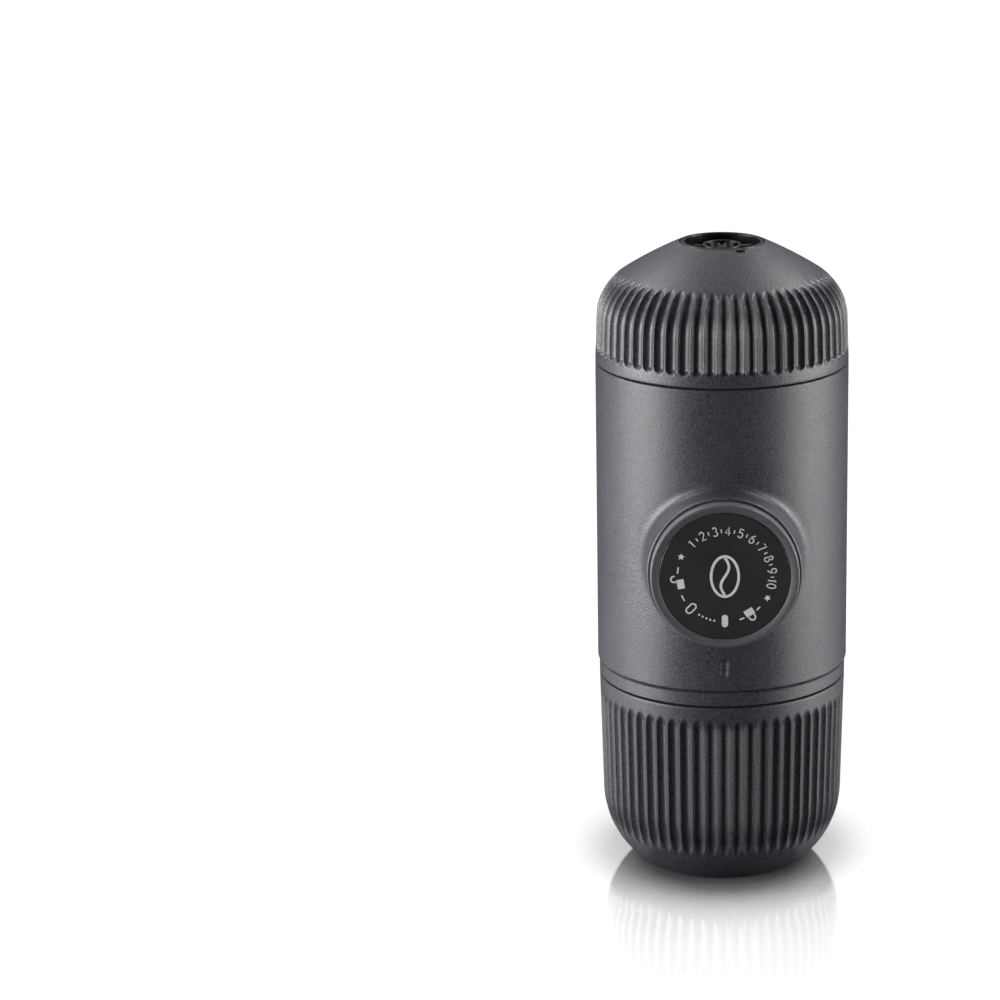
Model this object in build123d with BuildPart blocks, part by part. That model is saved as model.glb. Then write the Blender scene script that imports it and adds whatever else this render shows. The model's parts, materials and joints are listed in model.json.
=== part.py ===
"""Handheld manual espresso maker: drinking cup, portafilter, pump housing with a locking knob, water tank.

Millimetres, +Z up, the origin on the table under the middle of the cup. The knob faces -Y.
The stack, from the table up: drinking cup, portafilter ring, housing, water tank.
"""

import math
import os

from build123d import *

os.makedirs("parts", exist_ok=True)

# ---------------------------------------------------------------- driving dimensions

# Outer stack
body_radius = 30.75  # housing and tank, across the outside
cup_height = 47.6
ring_height = 3.65  # the portafilter's grip ring
shell_height = 74.7
tank_height = 29.0
seam_gap = 0.35  # parting line between two outer pieces
running_gap = 0.3  # between pieces of bodies that move apart
fit_gap = 0.1  # between pieces that are fixed to each other

# Drinking cup
ring_step = 0.4  # ring and cup stand this far inside the housing
cup_taper = 0.75  # rim radius less shoulder radius
cup_shoulder_height = 17.4
cup_base_radius = 20.5
cup_wall = 2.0
cup_fit_gap = 0.75  # portafilter wall inside the cup's mouth

# Flutes of the cup and the tank
flute_count = 60
flute_radius = 1.3
flute_depth = 0.8
cup_flute_top = 2.4  # below the cup's rim
cup_flute_end_angle = 29.0  # round the bowl, below level
cup_flute_runout = 3.0
tank_flute_bottom = 3.3  # above the tank's lower edge
tank_flute_runout = 2.5
tank_flute_end_angle = 55.0

# Water tank
tank_wall = 2.4
tank_side_height = 10.9
tank_taper = 0.37
tank_shoulder_radius = 13.0
tank_shoulder_angle = 57.0
tank_top_radius = 10.5
vent_recess_radius = 10.2
vent_recess_depth = 3.0
vent_floor = 2.5
vent_hole_radius = 2.6
vent_ring_width = 1.35
vent_hub_radius = 5.0
vent_hub_wall = 1.2
vent_spoke_width = 1.6
vent_web = 0.9
vent_bar_width = 1.1
tab_angle = -66.0
tab_thickness = 0.9
tab_width = 3.6
tab_length = 2.6
valve_disc_thickness = 0.6
valve_stem_radius = 0.9

# Screw threads: several starts, so each lets go in under half a turn
thread_inset = 4.35  # female root inside the housing's outer radius
thread_root_gap = 0.4
thread_depth = 1.0
thread_lead = 12.0
thread_starts = 4
thread_height = 4.3
ridge_root_width = 1.7
ridge_crest_width = 0.9
ridge_sink = 0.2  # how far a ridge's foot lies in its wall

# Housing shell
shell_wall = 2.85
end_rebate = 0.85  # the wall is thinner by this where an end piece sits
end_inset = 0.25  # end pieces stay this far inside the shell's edges
edge_round = 0.35
lip_round = 0.9  # rims of the knob and of its boss

# Knob and its guide
knob_axis_height = 31.75  # above the shell's lower edge
knob_radius = 17.7
knob_protrusion = 8.95  # knob face in front of the housing's outside
knob_clearance = 0.35
bezel_height = 1.5
bezel_inner_radius = 15.6
dial_thickness = 1.1
knob_plate = 1.5
skirt_wall = 1.4
skirt_engagement = 5.9  # skirt left in its guide at full stroke
unlock_turn = 45.0
lug_count = 3
lug_half_angle = 8.0
lug_height = 0.65
lug_length = 3.0
guide_lip = 2.8  # knob face in front of the guide's front edge
boss_radius = 19.8
boss_flare = 3.0
guide_wall = 2.2
guide_tail = 3.8  # guide behind the locked skirt
index_height = 6.0  # mark's middle above the shell's lower edge
index_length = 5.0
index_width = 2.2
index_depth = 0.45

# Pump
stroke = 15.0
bore_radius = 6.0
cylinder_wall = 3.0
piston_clearance = 0.08
piston_length = 5.5
piston_end_margin = 0.7
seal_wire_radius = 0.75
rod_radius = 3.5
rod_clearance = 0.06
flange_thickness = 2.5
screw_offset = 1.15  # pump screws' circle outside the guide
screw_radius = 1.0
screw_head_radius = 1.9
screw_head_height = 1.3
screw_grip = 7.5  # length in the shell's bosses
screw_boss_wall = 1.4
hub_radius = 7.0
hub_length = 5.0
hub_pocket_radius = 5.6
hub_pocket_depth = 1.7
clip_thickness = 0.8
clip_radius = 5.2
clip_groove_radius = 2.5
rod_collar_radius = 5.0
rod_collar_thickness = 1.1
spring_radius = 13.5
spring_wire_radius = 0.7
spring_coils = 7
guide_ring_length = 2.8

# Water ways
port_offset = 2.5  # port axis behind the locked piston's face
port_boss_radius = 4.2
port_boss_height = 11.0
port_radius = 1.4
tube_radius = 2.7
tube_bore = 1.5
tube_depth = 2.5
valve_length = 4.0
strainer_radius = 4.5
strainer_height = 1.6

# Tank coupling
neck_height = 8.15  # above the shell's top edge
neck_wall = 2.0
coupling_flange = 4.9
well_floor = 2.0
well_clearance = 2.0
seal_thickness = 0.9
collar_above_neck = 1.7
tie_radius = 1.0
tie_circle_inset = 4.15
tie_head_radius = 1.8
tie_head_height = 1.5
tie_thread_length = 3.5

# Brew head, basket and portafilter
head_flange = 4.8
head_neck_length = 10.9  # below the flange
head_neck_wall = 4.4
screen_thickness = 0.6
screen_hole_radius = 0.55
screen_hole_rings = 8
screen_hole_spacing = 2.15
screen_screw_length = 7.0
screen_screw_head_radius = 1.7
screen_screw_head_height = 0.55
screen_sink = 0.6  # from the head's lower rim to the screen
screen_ledge = 1.9
chamber_depth = 1.5
head_pocket_width = 4.7
head_pocket_offset = 1.8  # pocket's outer wall outside the chamber
channel_wall = 1.6
gasket_thickness = 1.5
gasket_width = 4.1
basket_flange = 1.2
basket_radius = 21.2
basket_wall = 1.4
basket_depth = 17.6  # flange top to the underside of the basket
basket_ledge = 1.5
basket_floor = 0.8
seat_ring_thickness = 0.8
shoulder_thickness = 2.2
pocket_clearance = 0.6
pocket_wall = 1.8
outlet_gasket_thickness = 0.8
outlet_wall = 2.2
outlet_collar_wall = 0.95
outlet_collar_height = 4.2
nozzle_radius = 3.6
nozzle_bore = 2.0
nozzle_length = 3.0
cone_height = 5.6
grip_ring_drop = 3.0  # cup grip ring below the portafilter's ring
grip_ring_radius = 0.5
seal_clearance = 0.08  # round seals in their bores

# ---------------------------------------------------------------- levels and radii that follow

ring_bottom = cup_height + seam_gap
ring_top = ring_bottom + ring_height
shell_bottom = ring_top + seam_gap
shell_top = shell_bottom + shell_height
tank_bottom = shell_top + seam_gap
tank_top = tank_bottom + tank_height
knob_z = shell_bottom + knob_axis_height

cup_rim_radius = body_radius - ring_step
cup_shoulder_radius = cup_rim_radius - cup_taper
cup_lean = cup_taper / (cup_height - cup_shoulder_height)
thread_root = body_radius - thread_inset  # female root
thread_crest = thread_root - thread_root_gap  # male crest
thread_core = thread_crest - thread_depth  # male core
thread_bore = thread_root - thread_depth  # female crest

shell_inner = body_radius - shell_wall
end_bore = shell_inner + end_rebate
end_radius = end_bore - fit_gap
tank_inner = body_radius - tank_wall
portafilter_radius = cup_rim_radius - cup_wall - cup_fit_gap

# Along Y, from the knob's face inwards
knob_face = -(body_radius + knob_protrusion)
plate_front = knob_face + bezel_height
plate_back = plate_front + knob_plate
guide_front = knob_face + guide_lip
skirt_end = guide_front + skirt_engagement + stroke
guide_end = skirt_end + guide_tail
flange_back = guide_end + flange_thickness
piston_back = guide_end + piston_end_margin + stroke
piston_face = piston_back + piston_length
port_y = piston_face + port_offset
bore_end = port_y + port_offset
cylinder_end = bore_end + cylinder_wall
guide_bore = knob_radius + knob_clearance
guide_outer = guide_bore + guide_wall
groove_radius = knob_radius + lug_height + knob_clearance
screw_circle = guide_outer + screw_offset
cylinder_radius = bore_radius + cylinder_wall

# Up the inside
well_bottom = knob_z + guide_outer + well_clearance
well_top = well_bottom + well_floor
neck_top = shell_top + neck_height
coupling_top = shell_top - end_inset
coupling_bottom = coupling_top - coupling_flange
well_radius = thread_core - neck_wall
head_bottom = shell_bottom + end_inset
head_top = head_bottom + head_flange
rim_bottom = head_bottom - head_neck_length  # the brew head's lower rim
screen_bottom = rim_bottom + screen_sink
screen_top = screen_bottom + screen_thickness
gasket_top = rim_bottom - running_gap
gasket_bottom = gasket_top - gasket_thickness
basket_top = gasket_bottom - running_gap
basket_flange_bottom = basket_top - basket_flange
basket_bottom = basket_top - basket_depth
seat_ring_top = basket_flange_bottom - running_gap
seat_ring_bottom = seat_ring_top - seat_ring_thickness
shoulder_top = seat_ring_bottom - running_gap
sliding_radius = thread_bore - 2 * running_gap  # passes up through the female ridges
pocket_radius = basket_radius + pocket_clearance
pocket_outer = pocket_radius + pocket_wall
pocket_bottom = basket_bottom - 1.0
outlet_top = pocket_bottom - outlet_gasket_thickness
tie_circle = body_radius - tie_circle_inset
TIE_ANGLES = (0, 90, 180)


def front_plane(y):
    """A sketch plane across the knob's axis at that Y, drawn as seen from the front."""
    return Plane.XZ.offset(-y)


def finish(part, name):
    part.label = name
    export_step(part, f"parts/{name}.step")


# ---------------------------------------------------------------- shapes used more than once


def thread_ridge(wall_radius, bottom, outward, turned=0.0):
    """One start of a trapezoidal thread. Its foot lies a little inside the wall that carries it."""
    side = 1 if outward else -1
    foot = wall_radius - side * ridge_sink
    crest = wall_radius + side * thread_depth
    start = bottom + ridge_root_width / 2
    with BuildPart() as ridge:
        with BuildLine() as path:
            Helix(pitch=thread_lead, height=thread_height, radius=foot, center=(0, 0, start))
        section = Plane(origin=path.line @ 0, x_dir=(1, 0, 0), z_dir=path.line % 0)
        with BuildSketch(section):
            with BuildLine():
                Polyline(
                    (0, -ridge_root_width / 2),
                    (crest - foot, -ridge_crest_width / 2),
                    (crest - foot, ridge_crest_width / 2),
                    (0, ridge_root_width / 2),
                    close=True,
                )
            make_face()
        sweep(is_frenet=True)
    return ridge.part.rotate(Axis.Z, turned)


def flute_cutter(path):
    """A round tool swept along one flute. Both ends of its path stand clear of the wall."""
    with BuildPart() as cutter:
        add(path)
        with BuildSketch(Plane(origin=path @ 0, z_dir=path % 0)):
            Circle(flute_radius)
        sweep()
    return cutter.part


def ring(inner, outer, bottom, height):
    """A plain ring about the Z axis."""
    with BuildPart() as made:
        with BuildSketch(Plane.XY.offset(bottom)):
            Circle(outer)
            Circle(inner, mode=Mode.SUBTRACT)
        extrude(amount=height)
    return made.part


def perforated_disc(radius, bottom):
    """A round screen with rings of holes, six more in each ring."""
    with BuildPart() as made:
        with BuildSketch(Plane.XY.offset(bottom)):
            Circle(radius)
            for step in range(1, screen_hole_rings + 1):
                with PolarLocations(step * screen_hole_spacing, 6 * step):
                    Circle(screen_hole_radius, mode=Mode.SUBTRACT)
        extrude(amount=screen_thickness)
    return made.part


# Ends of the two threads: the female ridges lie half a pitch below the male ones
tank_thread_bottom = shell_top + 2.0
head_thread_bottom = rim_bottom + 2.2
half_pitch_turn = 180.0 / thread_starts
neck_ridge = thread_ridge(thread_core, tank_thread_bottom, outward=True)
collar_ridge = thread_ridge(thread_root, tank_thread_bottom, False, half_pitch_turn)
head_ridge = thread_ridge(thread_core, head_thread_bottom, outward=True)
portafilter_ridge = thread_ridge(thread_root, head_thread_bottom, False, half_pitch_turn)

# ---------------------------------------------------------------- drinking cup

flute_offset = flute_radius - flute_depth  # tool centre outside the wall

with BuildPart() as cup_outside:
    with BuildSketch(Plane.XZ):
        with BuildLine():
            side = Line((cup_rim_radius, cup_height), (cup_shoulder_radius, cup_shoulder_height))
            bowl = TangentArc(side @ 1, (cup_base_radius, 0), tangent=side % 1)
            Polyline(bowl @ 1, (0, 0), (0, cup_height), side @ 0)
        make_face()
    revolve(axis=Axis.Z)

with BuildLine(Plane.XZ) as cup_flute_path:
    run_end_z = cup_height - cup_flute_top
    run_start_z = run_end_z - cup_flute_runout
    wall_at_run_end = cup_rim_radius - cup_lean * cup_flute_top
    wall_at_run_start = wall_at_run_end - cup_lean * cup_flute_runout
    down = Line(
        (wall_at_run_start + flute_offset, run_start_z),
        (cup_shoulder_radius + flute_offset, cup_shoulder_height),
    )
    TangentArc(down @ 0, (wall_at_run_end + flute_radius, run_end_z), tangent=(down % 0) * -1)
    outward = Vector(bowl.radius + flute_radius, 0).rotate(Axis.Z, -cup_flute_end_angle)
    bowl_end = bowl.arc_center + outward
    TangentArc(down @ 1, (bowl_end.X, bowl_end.Y), tangent=down % 1)
cup_flute = flute_cutter(cup_flute_path.wire())

with BuildPart() as drinking_cup:
    add(cup_outside.part)
    offset(amount=-cup_wall, openings=drinking_cup.faces().sort_by(Axis.Z)[-1])
    fillet(drinking_cup.faces().sort_by(Axis.Z)[-1].edges(), radius=edge_round)
    with PolarLocations(0, flute_count):
        add(cup_flute, mode=Mode.SUBTRACT)
finish(drinking_cup.part, "drinking_cup")

# ---------------------------------------------------------------- portafilter and outlet

portafilter_ring = ring(portafilter_radius + fit_gap, cup_rim_radius, ring_bottom, ring_height)
with BuildPart() as grip_ring:
    add(portafilter_ring)
    chamfer(grip_ring.edges().filter_by(GeomType.CIRCLE).group_by(SortBy.RADIUS)[-1], edge_round)
finish(grip_ring.part, "portafilter_ring")

grip_groove_z = ring_bottom - grip_ring_drop
cup_bore_at_grip = cup_rim_radius - cup_lean * (cup_height - grip_groove_z) - cup_wall
grip_ring_centre = cup_bore_at_grip - seal_clearance - grip_ring_radius
snap_z = outlet_top + outlet_collar_height - 1.2

with BuildPart() as portafilter_body:
    with BuildSketch(Plane.XZ):
        with BuildLine():
            Polyline(
                (thread_root, shoulder_top),
                (thread_root, ring_top - fit_gap),
                (portafilter_radius, ring_top - fit_gap),
                (portafilter_radius, shoulder_top - shoulder_thickness + 1.0),
                (portafilter_radius - 1.0, shoulder_top - shoulder_thickness),
                (pocket_outer, shoulder_top - shoulder_thickness),
                (pocket_outer, pocket_bottom),
                (pocket_radius, pocket_bottom),
                (pocket_radius, shoulder_top),
                close=True,
            )
        make_face()
    revolve(axis=Axis.Z)
    with PolarLocations(0, thread_starts):
        add(portafilter_ridge)
    # groove for the cup's grip ring, and groove for the outlet head's snap bead
    with BuildSketch(Plane.XZ):
        with Locations((grip_ring_centre, grip_groove_z)):
            Circle(grip_ring_radius + fit_gap / 2)
        with Locations((pocket_outer, snap_z)):
            Rectangle(0.8, 1.2)
    revolve(axis=Axis.Z, mode=Mode.SUBTRACT)
finish(portafilter_body.part, "portafilter_body")

with BuildPart() as cup_grip_ring:
    with BuildSketch(Plane.XZ):
        with Locations((grip_ring_centre, grip_groove_z)):
            Circle(grip_ring_radius)
    revolve(axis=Axis.Z)
finish(cup_grip_ring.part, "cup_grip_ring")

outlet_gasket = ring(pocket_radius, pocket_outer, outlet_top, outlet_gasket_thickness)
finish(outlet_gasket, "outlet_gasket")

cone_top = outlet_top - outlet_wall
nozzle_top = cone_top - cone_height
nozzle_tip = nozzle_top - nozzle_length
collar_inner = pocket_outer + fit_gap
collar_outer = collar_inner + outlet_collar_wall
with BuildPart() as outlet_head:
    with BuildSketch(Plane.XZ):
        with BuildLine():
            Polyline(
                (collar_inner, outlet_top),
                (collar_inner, outlet_top + outlet_collar_height),
                (collar_outer, outlet_top + outlet_collar_height),
                (collar_outer, cone_top),
            )
            Spline(
                (collar_outer, cone_top),
                (collar_outer * 0.62, cone_top - cone_height * 0.42),
                (nozzle_radius + 0.6, nozzle_top),
                tangents=((-0.5, -1), (-0.5, -1)),
            )
            Polyline(
                (nozzle_radius + 0.6, nozzle_top),
                (nozzle_radius, nozzle_tip),
                (nozzle_bore, nozzle_tip),
                (nozzle_bore, nozzle_top + outlet_wall),
                (pocket_radius - 0.8, outlet_top),
                (collar_inner, outlet_top),
            )
        make_face()
        with Locations((collar_inner, snap_z)):
            Rectangle(0.5, 0.8)
    revolve(axis=Axis.Z)
finish(outlet_head.part, "outlet_head")

# ---------------------------------------------------------------- seat ring, basket, group gasket

seat_ring = ring(pocket_radius + 0.8, sliding_radius, seat_ring_bottom, seat_ring_thickness)
finish(seat_ring, "basket_seat_ring")

basket_inner = basket_radius - basket_wall
with BuildPart() as filter_basket:
    with BuildSketch(Plane.XZ):
        with BuildLine():
            Polyline(
                (basket_inner - basket_ledge, basket_bottom),
                (basket_radius, basket_bottom),
                (basket_radius, basket_flange_bottom),
                (sliding_radius, basket_flange_bottom),
                (sliding_radius, basket_top),
                (basket_inner, basket_top),
                (basket_inner, basket_bottom + basket_floor),
                (basket_inner - basket_ledge, basket_bottom + basket_floor),
                close=True,
            )
        make_face()
    revolve(axis=Axis.Z)
    fillet(filter_basket.faces().sort_by(Axis.Z)[-1].edges(), radius=edge_round)
finish(filter_basket.part, "filter_basket")

basket_screen = perforated_disc(basket_inner - fit_gap, basket_bottom + basket_floor)
finish(basket_screen, "basket_screen")

gasket = ring(sliding_radius - gasket_width, sliding_radius, gasket_bottom, gasket_thickness)
finish(gasket, "group_gasket")

# ---------------------------------------------------------------- brew head and shower screen

screen_radius = thread_core - head_neck_wall
chamber_radius = screen_radius - screen_ledge
pocket_reach = chamber_radius + head_pocket_offset
head_channel_top = head_top - tube_depth
with BuildPart() as brew_head:
    with BuildSketch(Plane.XY.offset(rim_bottom)):
        Circle(thread_core)
    extrude(amount=head_neck_length)
    with BuildSketch(Plane.XY.offset(head_bottom)):
        Circle(end_radius)
    extrude(amount=head_flange)
    with PolarLocations(0, thread_starts):
        add(head_ridge)
    # recess for the screen, and the chamber above it
    with BuildSketch(Plane.XY.offset(rim_bottom)):
        Circle(screen_radius + fit_gap)
    extrude(amount=screen_top - rim_bottom, mode=Mode.SUBTRACT)
    with BuildSketch(Plane.XY.offset(screen_top)):
        Circle(chamber_radius)
        Circle(screen_ledge, mode=Mode.SUBTRACT)
    extrude(amount=chamber_depth, mode=Mode.SUBTRACT)
    # moulding pocket from above, between the head's core and the thread's wall, clear of the channel
    with BuildSketch(Plane.XY.offset(screen_top + chamber_depth + 2.0)):
        Circle(pocket_reach)
        Circle(pocket_reach - head_pocket_width, mode=Mode.SUBTRACT)
        with Locations((0, port_y)):
            Circle(tube_radius + channel_wall, mode=Mode.SUBTRACT)
    extrude(amount=head_neck_length + head_flange, mode=Mode.SUBTRACT)
    # seat for the outlet tube, channel down to the chamber, and the screen's screw
    with Locations((0, port_y, head_top)):
        CounterBoreHole(port_radius, tube_radius + fit_gap / 2, tube_depth, head_top - screen_top)
    with Locations(Plane(origin=(0, 0, rim_bottom), z_dir=(0, 0, -1))):
        Hole(screw_radius, depth=screen_screw_length + 1.0)
    # counterbored holes for the tie screws
    for angle in TIE_ANGLES:
        spot = Vector(tie_circle, 0, head_bottom).rotate(Axis.Z, angle)
        with Locations(Plane(origin=spot, z_dir=(0, 0, -1))):
            CounterBoreHole(tie_radius + fit_gap, tie_head_radius + fit_gap, tie_head_height, head_flange)
finish(brew_head.part, "brew_head")

shower_plate = perforated_disc(screen_radius, screen_bottom)
with BuildPart() as shower_screen:
    add(shower_plate)
    with BuildSketch(Plane.XY.offset(screen_bottom)):
        Circle(screw_radius + fit_gap / 2)
    extrude(amount=screen_thickness, mode=Mode.SUBTRACT)
finish(shower_screen.part, "shower_screen")

with BuildPart() as shower_screw:
    with BuildSketch(Plane.XY.offset(screen_bottom)):
        Circle(screw_radius)
    extrude(amount=screen_screw_length)
    with BuildSketch(Plane.XY.offset(screen_bottom)):
        Circle(screen_screw_head_radius)
    extrude(amount=-screen_screw_head_height)
    with BuildSketch(Plane.XY.offset(screen_bottom - screen_screw_head_height)):
        Rectangle(2.6, 0.5)
        Rectangle(0.5, 2.6)
    extrude(amount=0.35, mode=Mode.SUBTRACT)
finish(shower_screw.part, "shower_screw")

# ---------------------------------------------------------------- housing shell

screw_spots = [Vector(screw_circle, 0).rotate(Axis.Z, a) for a in (45, 135, 225, 315)]


def in_front(x, up):
    """A point of a front sketch, measured from the knob's axis."""
    return (x, knob_z + up)


with BuildPart() as shell_outside:
    with BuildSketch(Plane.XY.offset(shell_bottom)):
        Circle(body_radius)
    extrude(amount=shell_height)
    with BuildSketch(front_plane(guide_front)):
        with Locations(in_front(0, 0)):
            Circle(boss_radius)
    extrude(amount=guide_front)
    root = shell_outside.edges().filter_by(
        lambda e: guide_front + 0.5 < e.center().Y < -10 and abs(e.center().Z - knob_z) < boss_radius
    )
    fillet(root, radius=boss_flare)
    lip = shell_outside.faces().sort_by(Axis.Y)[0].edges()
    fillet(lip, radius=lip_round)
    ends = shell_outside.faces().filter_by(Axis.Z).edges()
    fillet(ends, radius=edge_round)

with BuildPart() as outer_shell:
    add(shell_outside.part)
    with BuildSketch(Plane.XY.offset(shell_bottom)):
        Circle(shell_inner)
    extrude(amount=shell_height, mode=Mode.SUBTRACT)
    for level, depth in (
        (shell_bottom, head_top - shell_bottom),
        (coupling_bottom, shell_top - coupling_bottom),
    ):
        with BuildSketch(Plane.XY.offset(level)):
            Circle(end_bore)
        extrude(amount=depth, mode=Mode.SUBTRACT)
    # guide tube for the knob's skirt, and four bosses for the pump's screws
    with BuildSketch(front_plane(guide_end)):
        with Locations(in_front(0, 0)):
            Circle(guide_outer)
    extrude(amount=guide_end + math.sqrt(shell_inner**2 - guide_outer**2) + 1.0)
    with BuildSketch(front_plane(guide_end)):
        for spot in screw_spots:
            with Locations(in_front(spot.X, spot.Y)):
                Circle(screw_radius + screw_boss_wall)
    extrude(amount=guide_end + math.sqrt(shell_inner**2 - screw_spots[0].X ** 2) + 1.0)
    with BuildSketch(front_plane(guide_end)):
        for spot in screw_spots:
            with Locations(in_front(spot.X, spot.Y)):
                Circle(screw_radius + fit_gap / 2)
    extrude(amount=screw_grip + 0.5, mode=Mode.SUBTRACT)
    with BuildSketch(front_plane(guide_end)):
        with Locations(in_front(0, 0)):
            Circle(guide_bore)
    extrude(amount=guide_end - guide_front + 1.0, mode=Mode.SUBTRACT)
    # tracks that stop the knob's lugs at both ends of their turn and at full stroke
    track_front = skirt_end - lug_length - stroke - running_gap
    stop_angle = math.degrees(running_gap / groove_radius)
    with BuildSketch(front_plane(guide_end)):
        for number in range(lug_count):
            start = 90 + number * 360 / lug_count - lug_half_angle - stop_angle
            sweep_angle = unlock_turn + 2 * (lug_half_angle + stop_angle)
            with BuildLine():
                for line_radius in (guide_bore - 0.5, groove_radius):
                    CenterArc(in_front(0, 0), line_radius, start, sweep_angle)
                for angle in (start, start + sweep_angle):
                    along = Vector(1, 0).rotate(Axis.Z, angle)
                    near, far = along * (guide_bore - 0.5), along * groove_radius
                    Line(in_front(near.X, near.Y), in_front(far.X, far.Y))
            make_face()
    extrude(amount=guide_end - track_front, mode=Mode.SUBTRACT)
    # index mark under the knob
    with BuildSketch(front_plane(-body_radius + index_depth)):
        with Locations((0, shell_bottom + index_height)):
            SlotOverall(index_length, index_width, rotation=90)
    extrude(amount=index_depth + 1.0, mode=Mode.SUBTRACT)
finish(outer_shell.part, "outer_shell")

# ---------------------------------------------------------------- tank coupling

with BuildPart() as tank_coupling:
    with BuildSketch(Plane.XZ):
        with BuildLine():
            Polyline(
                (0, well_bottom),
                (thread_core, well_bottom),
                (thread_core, coupling_bottom),
                (end_radius, coupling_bottom),
                (end_radius, coupling_top),
                (thread_core, coupling_top),
                (thread_core, neck_top),
                (well_radius, neck_top),
                (well_radius, well_top),
                (0, well_top),
                close=True,
            )
        make_face()
    revolve(axis=Axis.Z)
    with PolarLocations(0, thread_starts):
        add(neck_ridge)
    with Locations((0, port_y, well_top)):
        Hole(tube_radius + fit_gap / 2, depth=well_floor)
    for angle in TIE_ANGLES:
        spot = Vector(tie_circle, 0, coupling_bottom).rotate(Axis.Z, angle)
        with Locations(Plane(origin=spot, z_dir=(0, 0, -1))):
            Hole(tie_radius + fit_gap / 2, depth=tie_thread_length)
    fillet(tank_coupling.edges().filter_by(GeomType.CIRCLE).group_by(Axis.Z)[-1], radius=edge_round)
finish(tank_coupling.part, "tank_coupling")

tie_bottom = head_bottom + fit_gap / 2
tie_end = coupling_bottom + tie_thread_length - fit_gap
with BuildPart() as tie_screws:
    with BuildSketch(Plane.XY.offset(tie_bottom)):
        for angle in TIE_ANGLES:
            spot = Vector(tie_circle, 0).rotate(Axis.Z, angle)
            with Locations((spot.X, spot.Y)):
                Circle(tie_radius)
    extrude(amount=tie_end - tie_bottom)
    with BuildSketch(Plane.XY.offset(tie_bottom)):
        for angle in TIE_ANGLES:
            spot = Vector(tie_circle, 0).rotate(Axis.Z, angle)
            with Locations((spot.X, spot.Y)):
                Circle(tie_head_radius)
    extrude(amount=tie_head_height - fit_gap)
finish(tie_screws.part, "tie_screws")

# ---------------------------------------------------------------- pump

with BuildPart() as pump_cylinder:
    with BuildSketch(front_plane(guide_end)):
        with Locations(in_front(0, 0)):
            Circle(guide_outer)
        for spot in screw_spots:
            with Locations(in_front(spot.X, spot.Y)):
                Circle(screw_radius + screw_boss_wall)
    extrude(amount=-flange_thickness)
    with BuildSketch(front_plane(guide_end)):
        with Locations(in_front(0, 0)):
            Circle(cylinder_radius)
    extrude(amount=-(cylinder_end - guide_end))
    for up in (1, -1):
        base = Plane(origin=(0, port_y, knob_z), z_dir=(0, 0, up))
        with BuildSketch(base):
            Circle(port_boss_radius)
        extrude(amount=port_boss_height)
    with BuildSketch(front_plane(guide_end)):
        with Locations(in_front(0, 0)):
            Circle(bore_radius)
        for spot in screw_spots:
            with Locations(in_front(spot.X, spot.Y)):
                Circle(screw_radius + fit_gap)
    extrude(amount=-(bore_end - guide_end), mode=Mode.SUBTRACT)
    for up in (1, -1):
        mouth = Plane(origin=(0, port_y, knob_z + up * port_boss_height), z_dir=(0, 0, up))
        with Locations(mouth):
            CounterBoreHole(port_radius, tube_radius + fit_gap / 2, tube_depth, port_boss_height)
finish(pump_cylinder.part, "pump_cylinder")

with BuildPart() as pump_screws:
    with BuildSketch(front_plane(flange_back)):
        for spot in screw_spots:
            with Locations(in_front(spot.X, spot.Y)):
                Circle(screw_radius)
    extrude(amount=flange_thickness + screw_grip)
    with BuildSketch(front_plane(flange_back)):
        for spot in screw_spots:
            with Locations(in_front(spot.X, spot.Y)):
                Circle(screw_head_radius)
    extrude(amount=-screw_head_height)
finish(pump_screws.part, "pump_screws")

with BuildPart() as rod_guide:
    with BuildSketch(front_plane(guide_end)):
        with Locations(in_front(0, 0)):
            Circle(cylinder_radius)
            Circle(rod_radius + rod_clearance, mode=Mode.SUBTRACT)
    extrude(amount=guide_ring_length)
finish(rod_guide.part, "rod_guide")

tube_seat = port_boss_height - tube_depth + fit_gap
for name, bottom, top in (
    ("inlet_tube", knob_z + tube_seat, well_top - fit_gap),
    ("outlet_tube", head_channel_top + fit_gap, knob_z - tube_seat),
):
    with BuildPart() as tube:
        with BuildSketch(Plane.XY.offset(bottom)):
            with Locations((0, port_y)):
                Circle(tube_radius)
                Circle(tube_bore, mode=Mode.SUBTRACT)
        extrude(amount=top - bottom)
    finish(tube.part, name)

for name, middle in (
    ("inlet_valve", (knob_z + port_boss_height + well_bottom) / 2),
    ("outlet_valve", (head_top + knob_z - port_boss_height) / 2),
):
    # duckbill: a round base that narrows to a flat lip, opening downwards
    with BuildPart() as valve:
        with BuildSketch(Plane.XY.offset(middle)):
            with Locations((0, port_y)):
                Circle(tube_bore - fit_gap / 2)
        extrude(amount=valve_length / 4)
        with BuildSketch(Plane.XY.offset(middle)):
            with Locations((0, port_y)):
                Circle(tube_bore - 2 * fit_gap)
        with BuildSketch(Plane.XY.offset(middle - valve_length * 3 / 4)):
            with Locations((0, port_y)):
                Rectangle(2 * tube_bore - 0.8, 0.5)
        loft()
    finish(valve.part, name)

with BuildPart() as intake_strainer:
    with BuildSketch(Plane.XY.offset(well_top)):
        with Locations((0, port_y)):
            Circle(strainer_radius)
    extrude(amount=strainer_height)
    with BuildSketch(Plane.XY.offset(well_top)):
        with Locations((0, port_y)):
            Circle(strainer_radius - 0.8)
    extrude(amount=strainer_height - 0.6, mode=Mode.SUBTRACT)
    with BuildSketch(Plane.XY.offset(well_top)):
        with Locations((0, port_y)):
            for step in (1, 2):
                with PolarLocations(step * 1.35, 6 * step):
                    Circle(0.4)
    extrude(amount=strainer_height, mode=Mode.SUBTRACT)
finish(intake_strainer.part, "intake_strainer")

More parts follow.
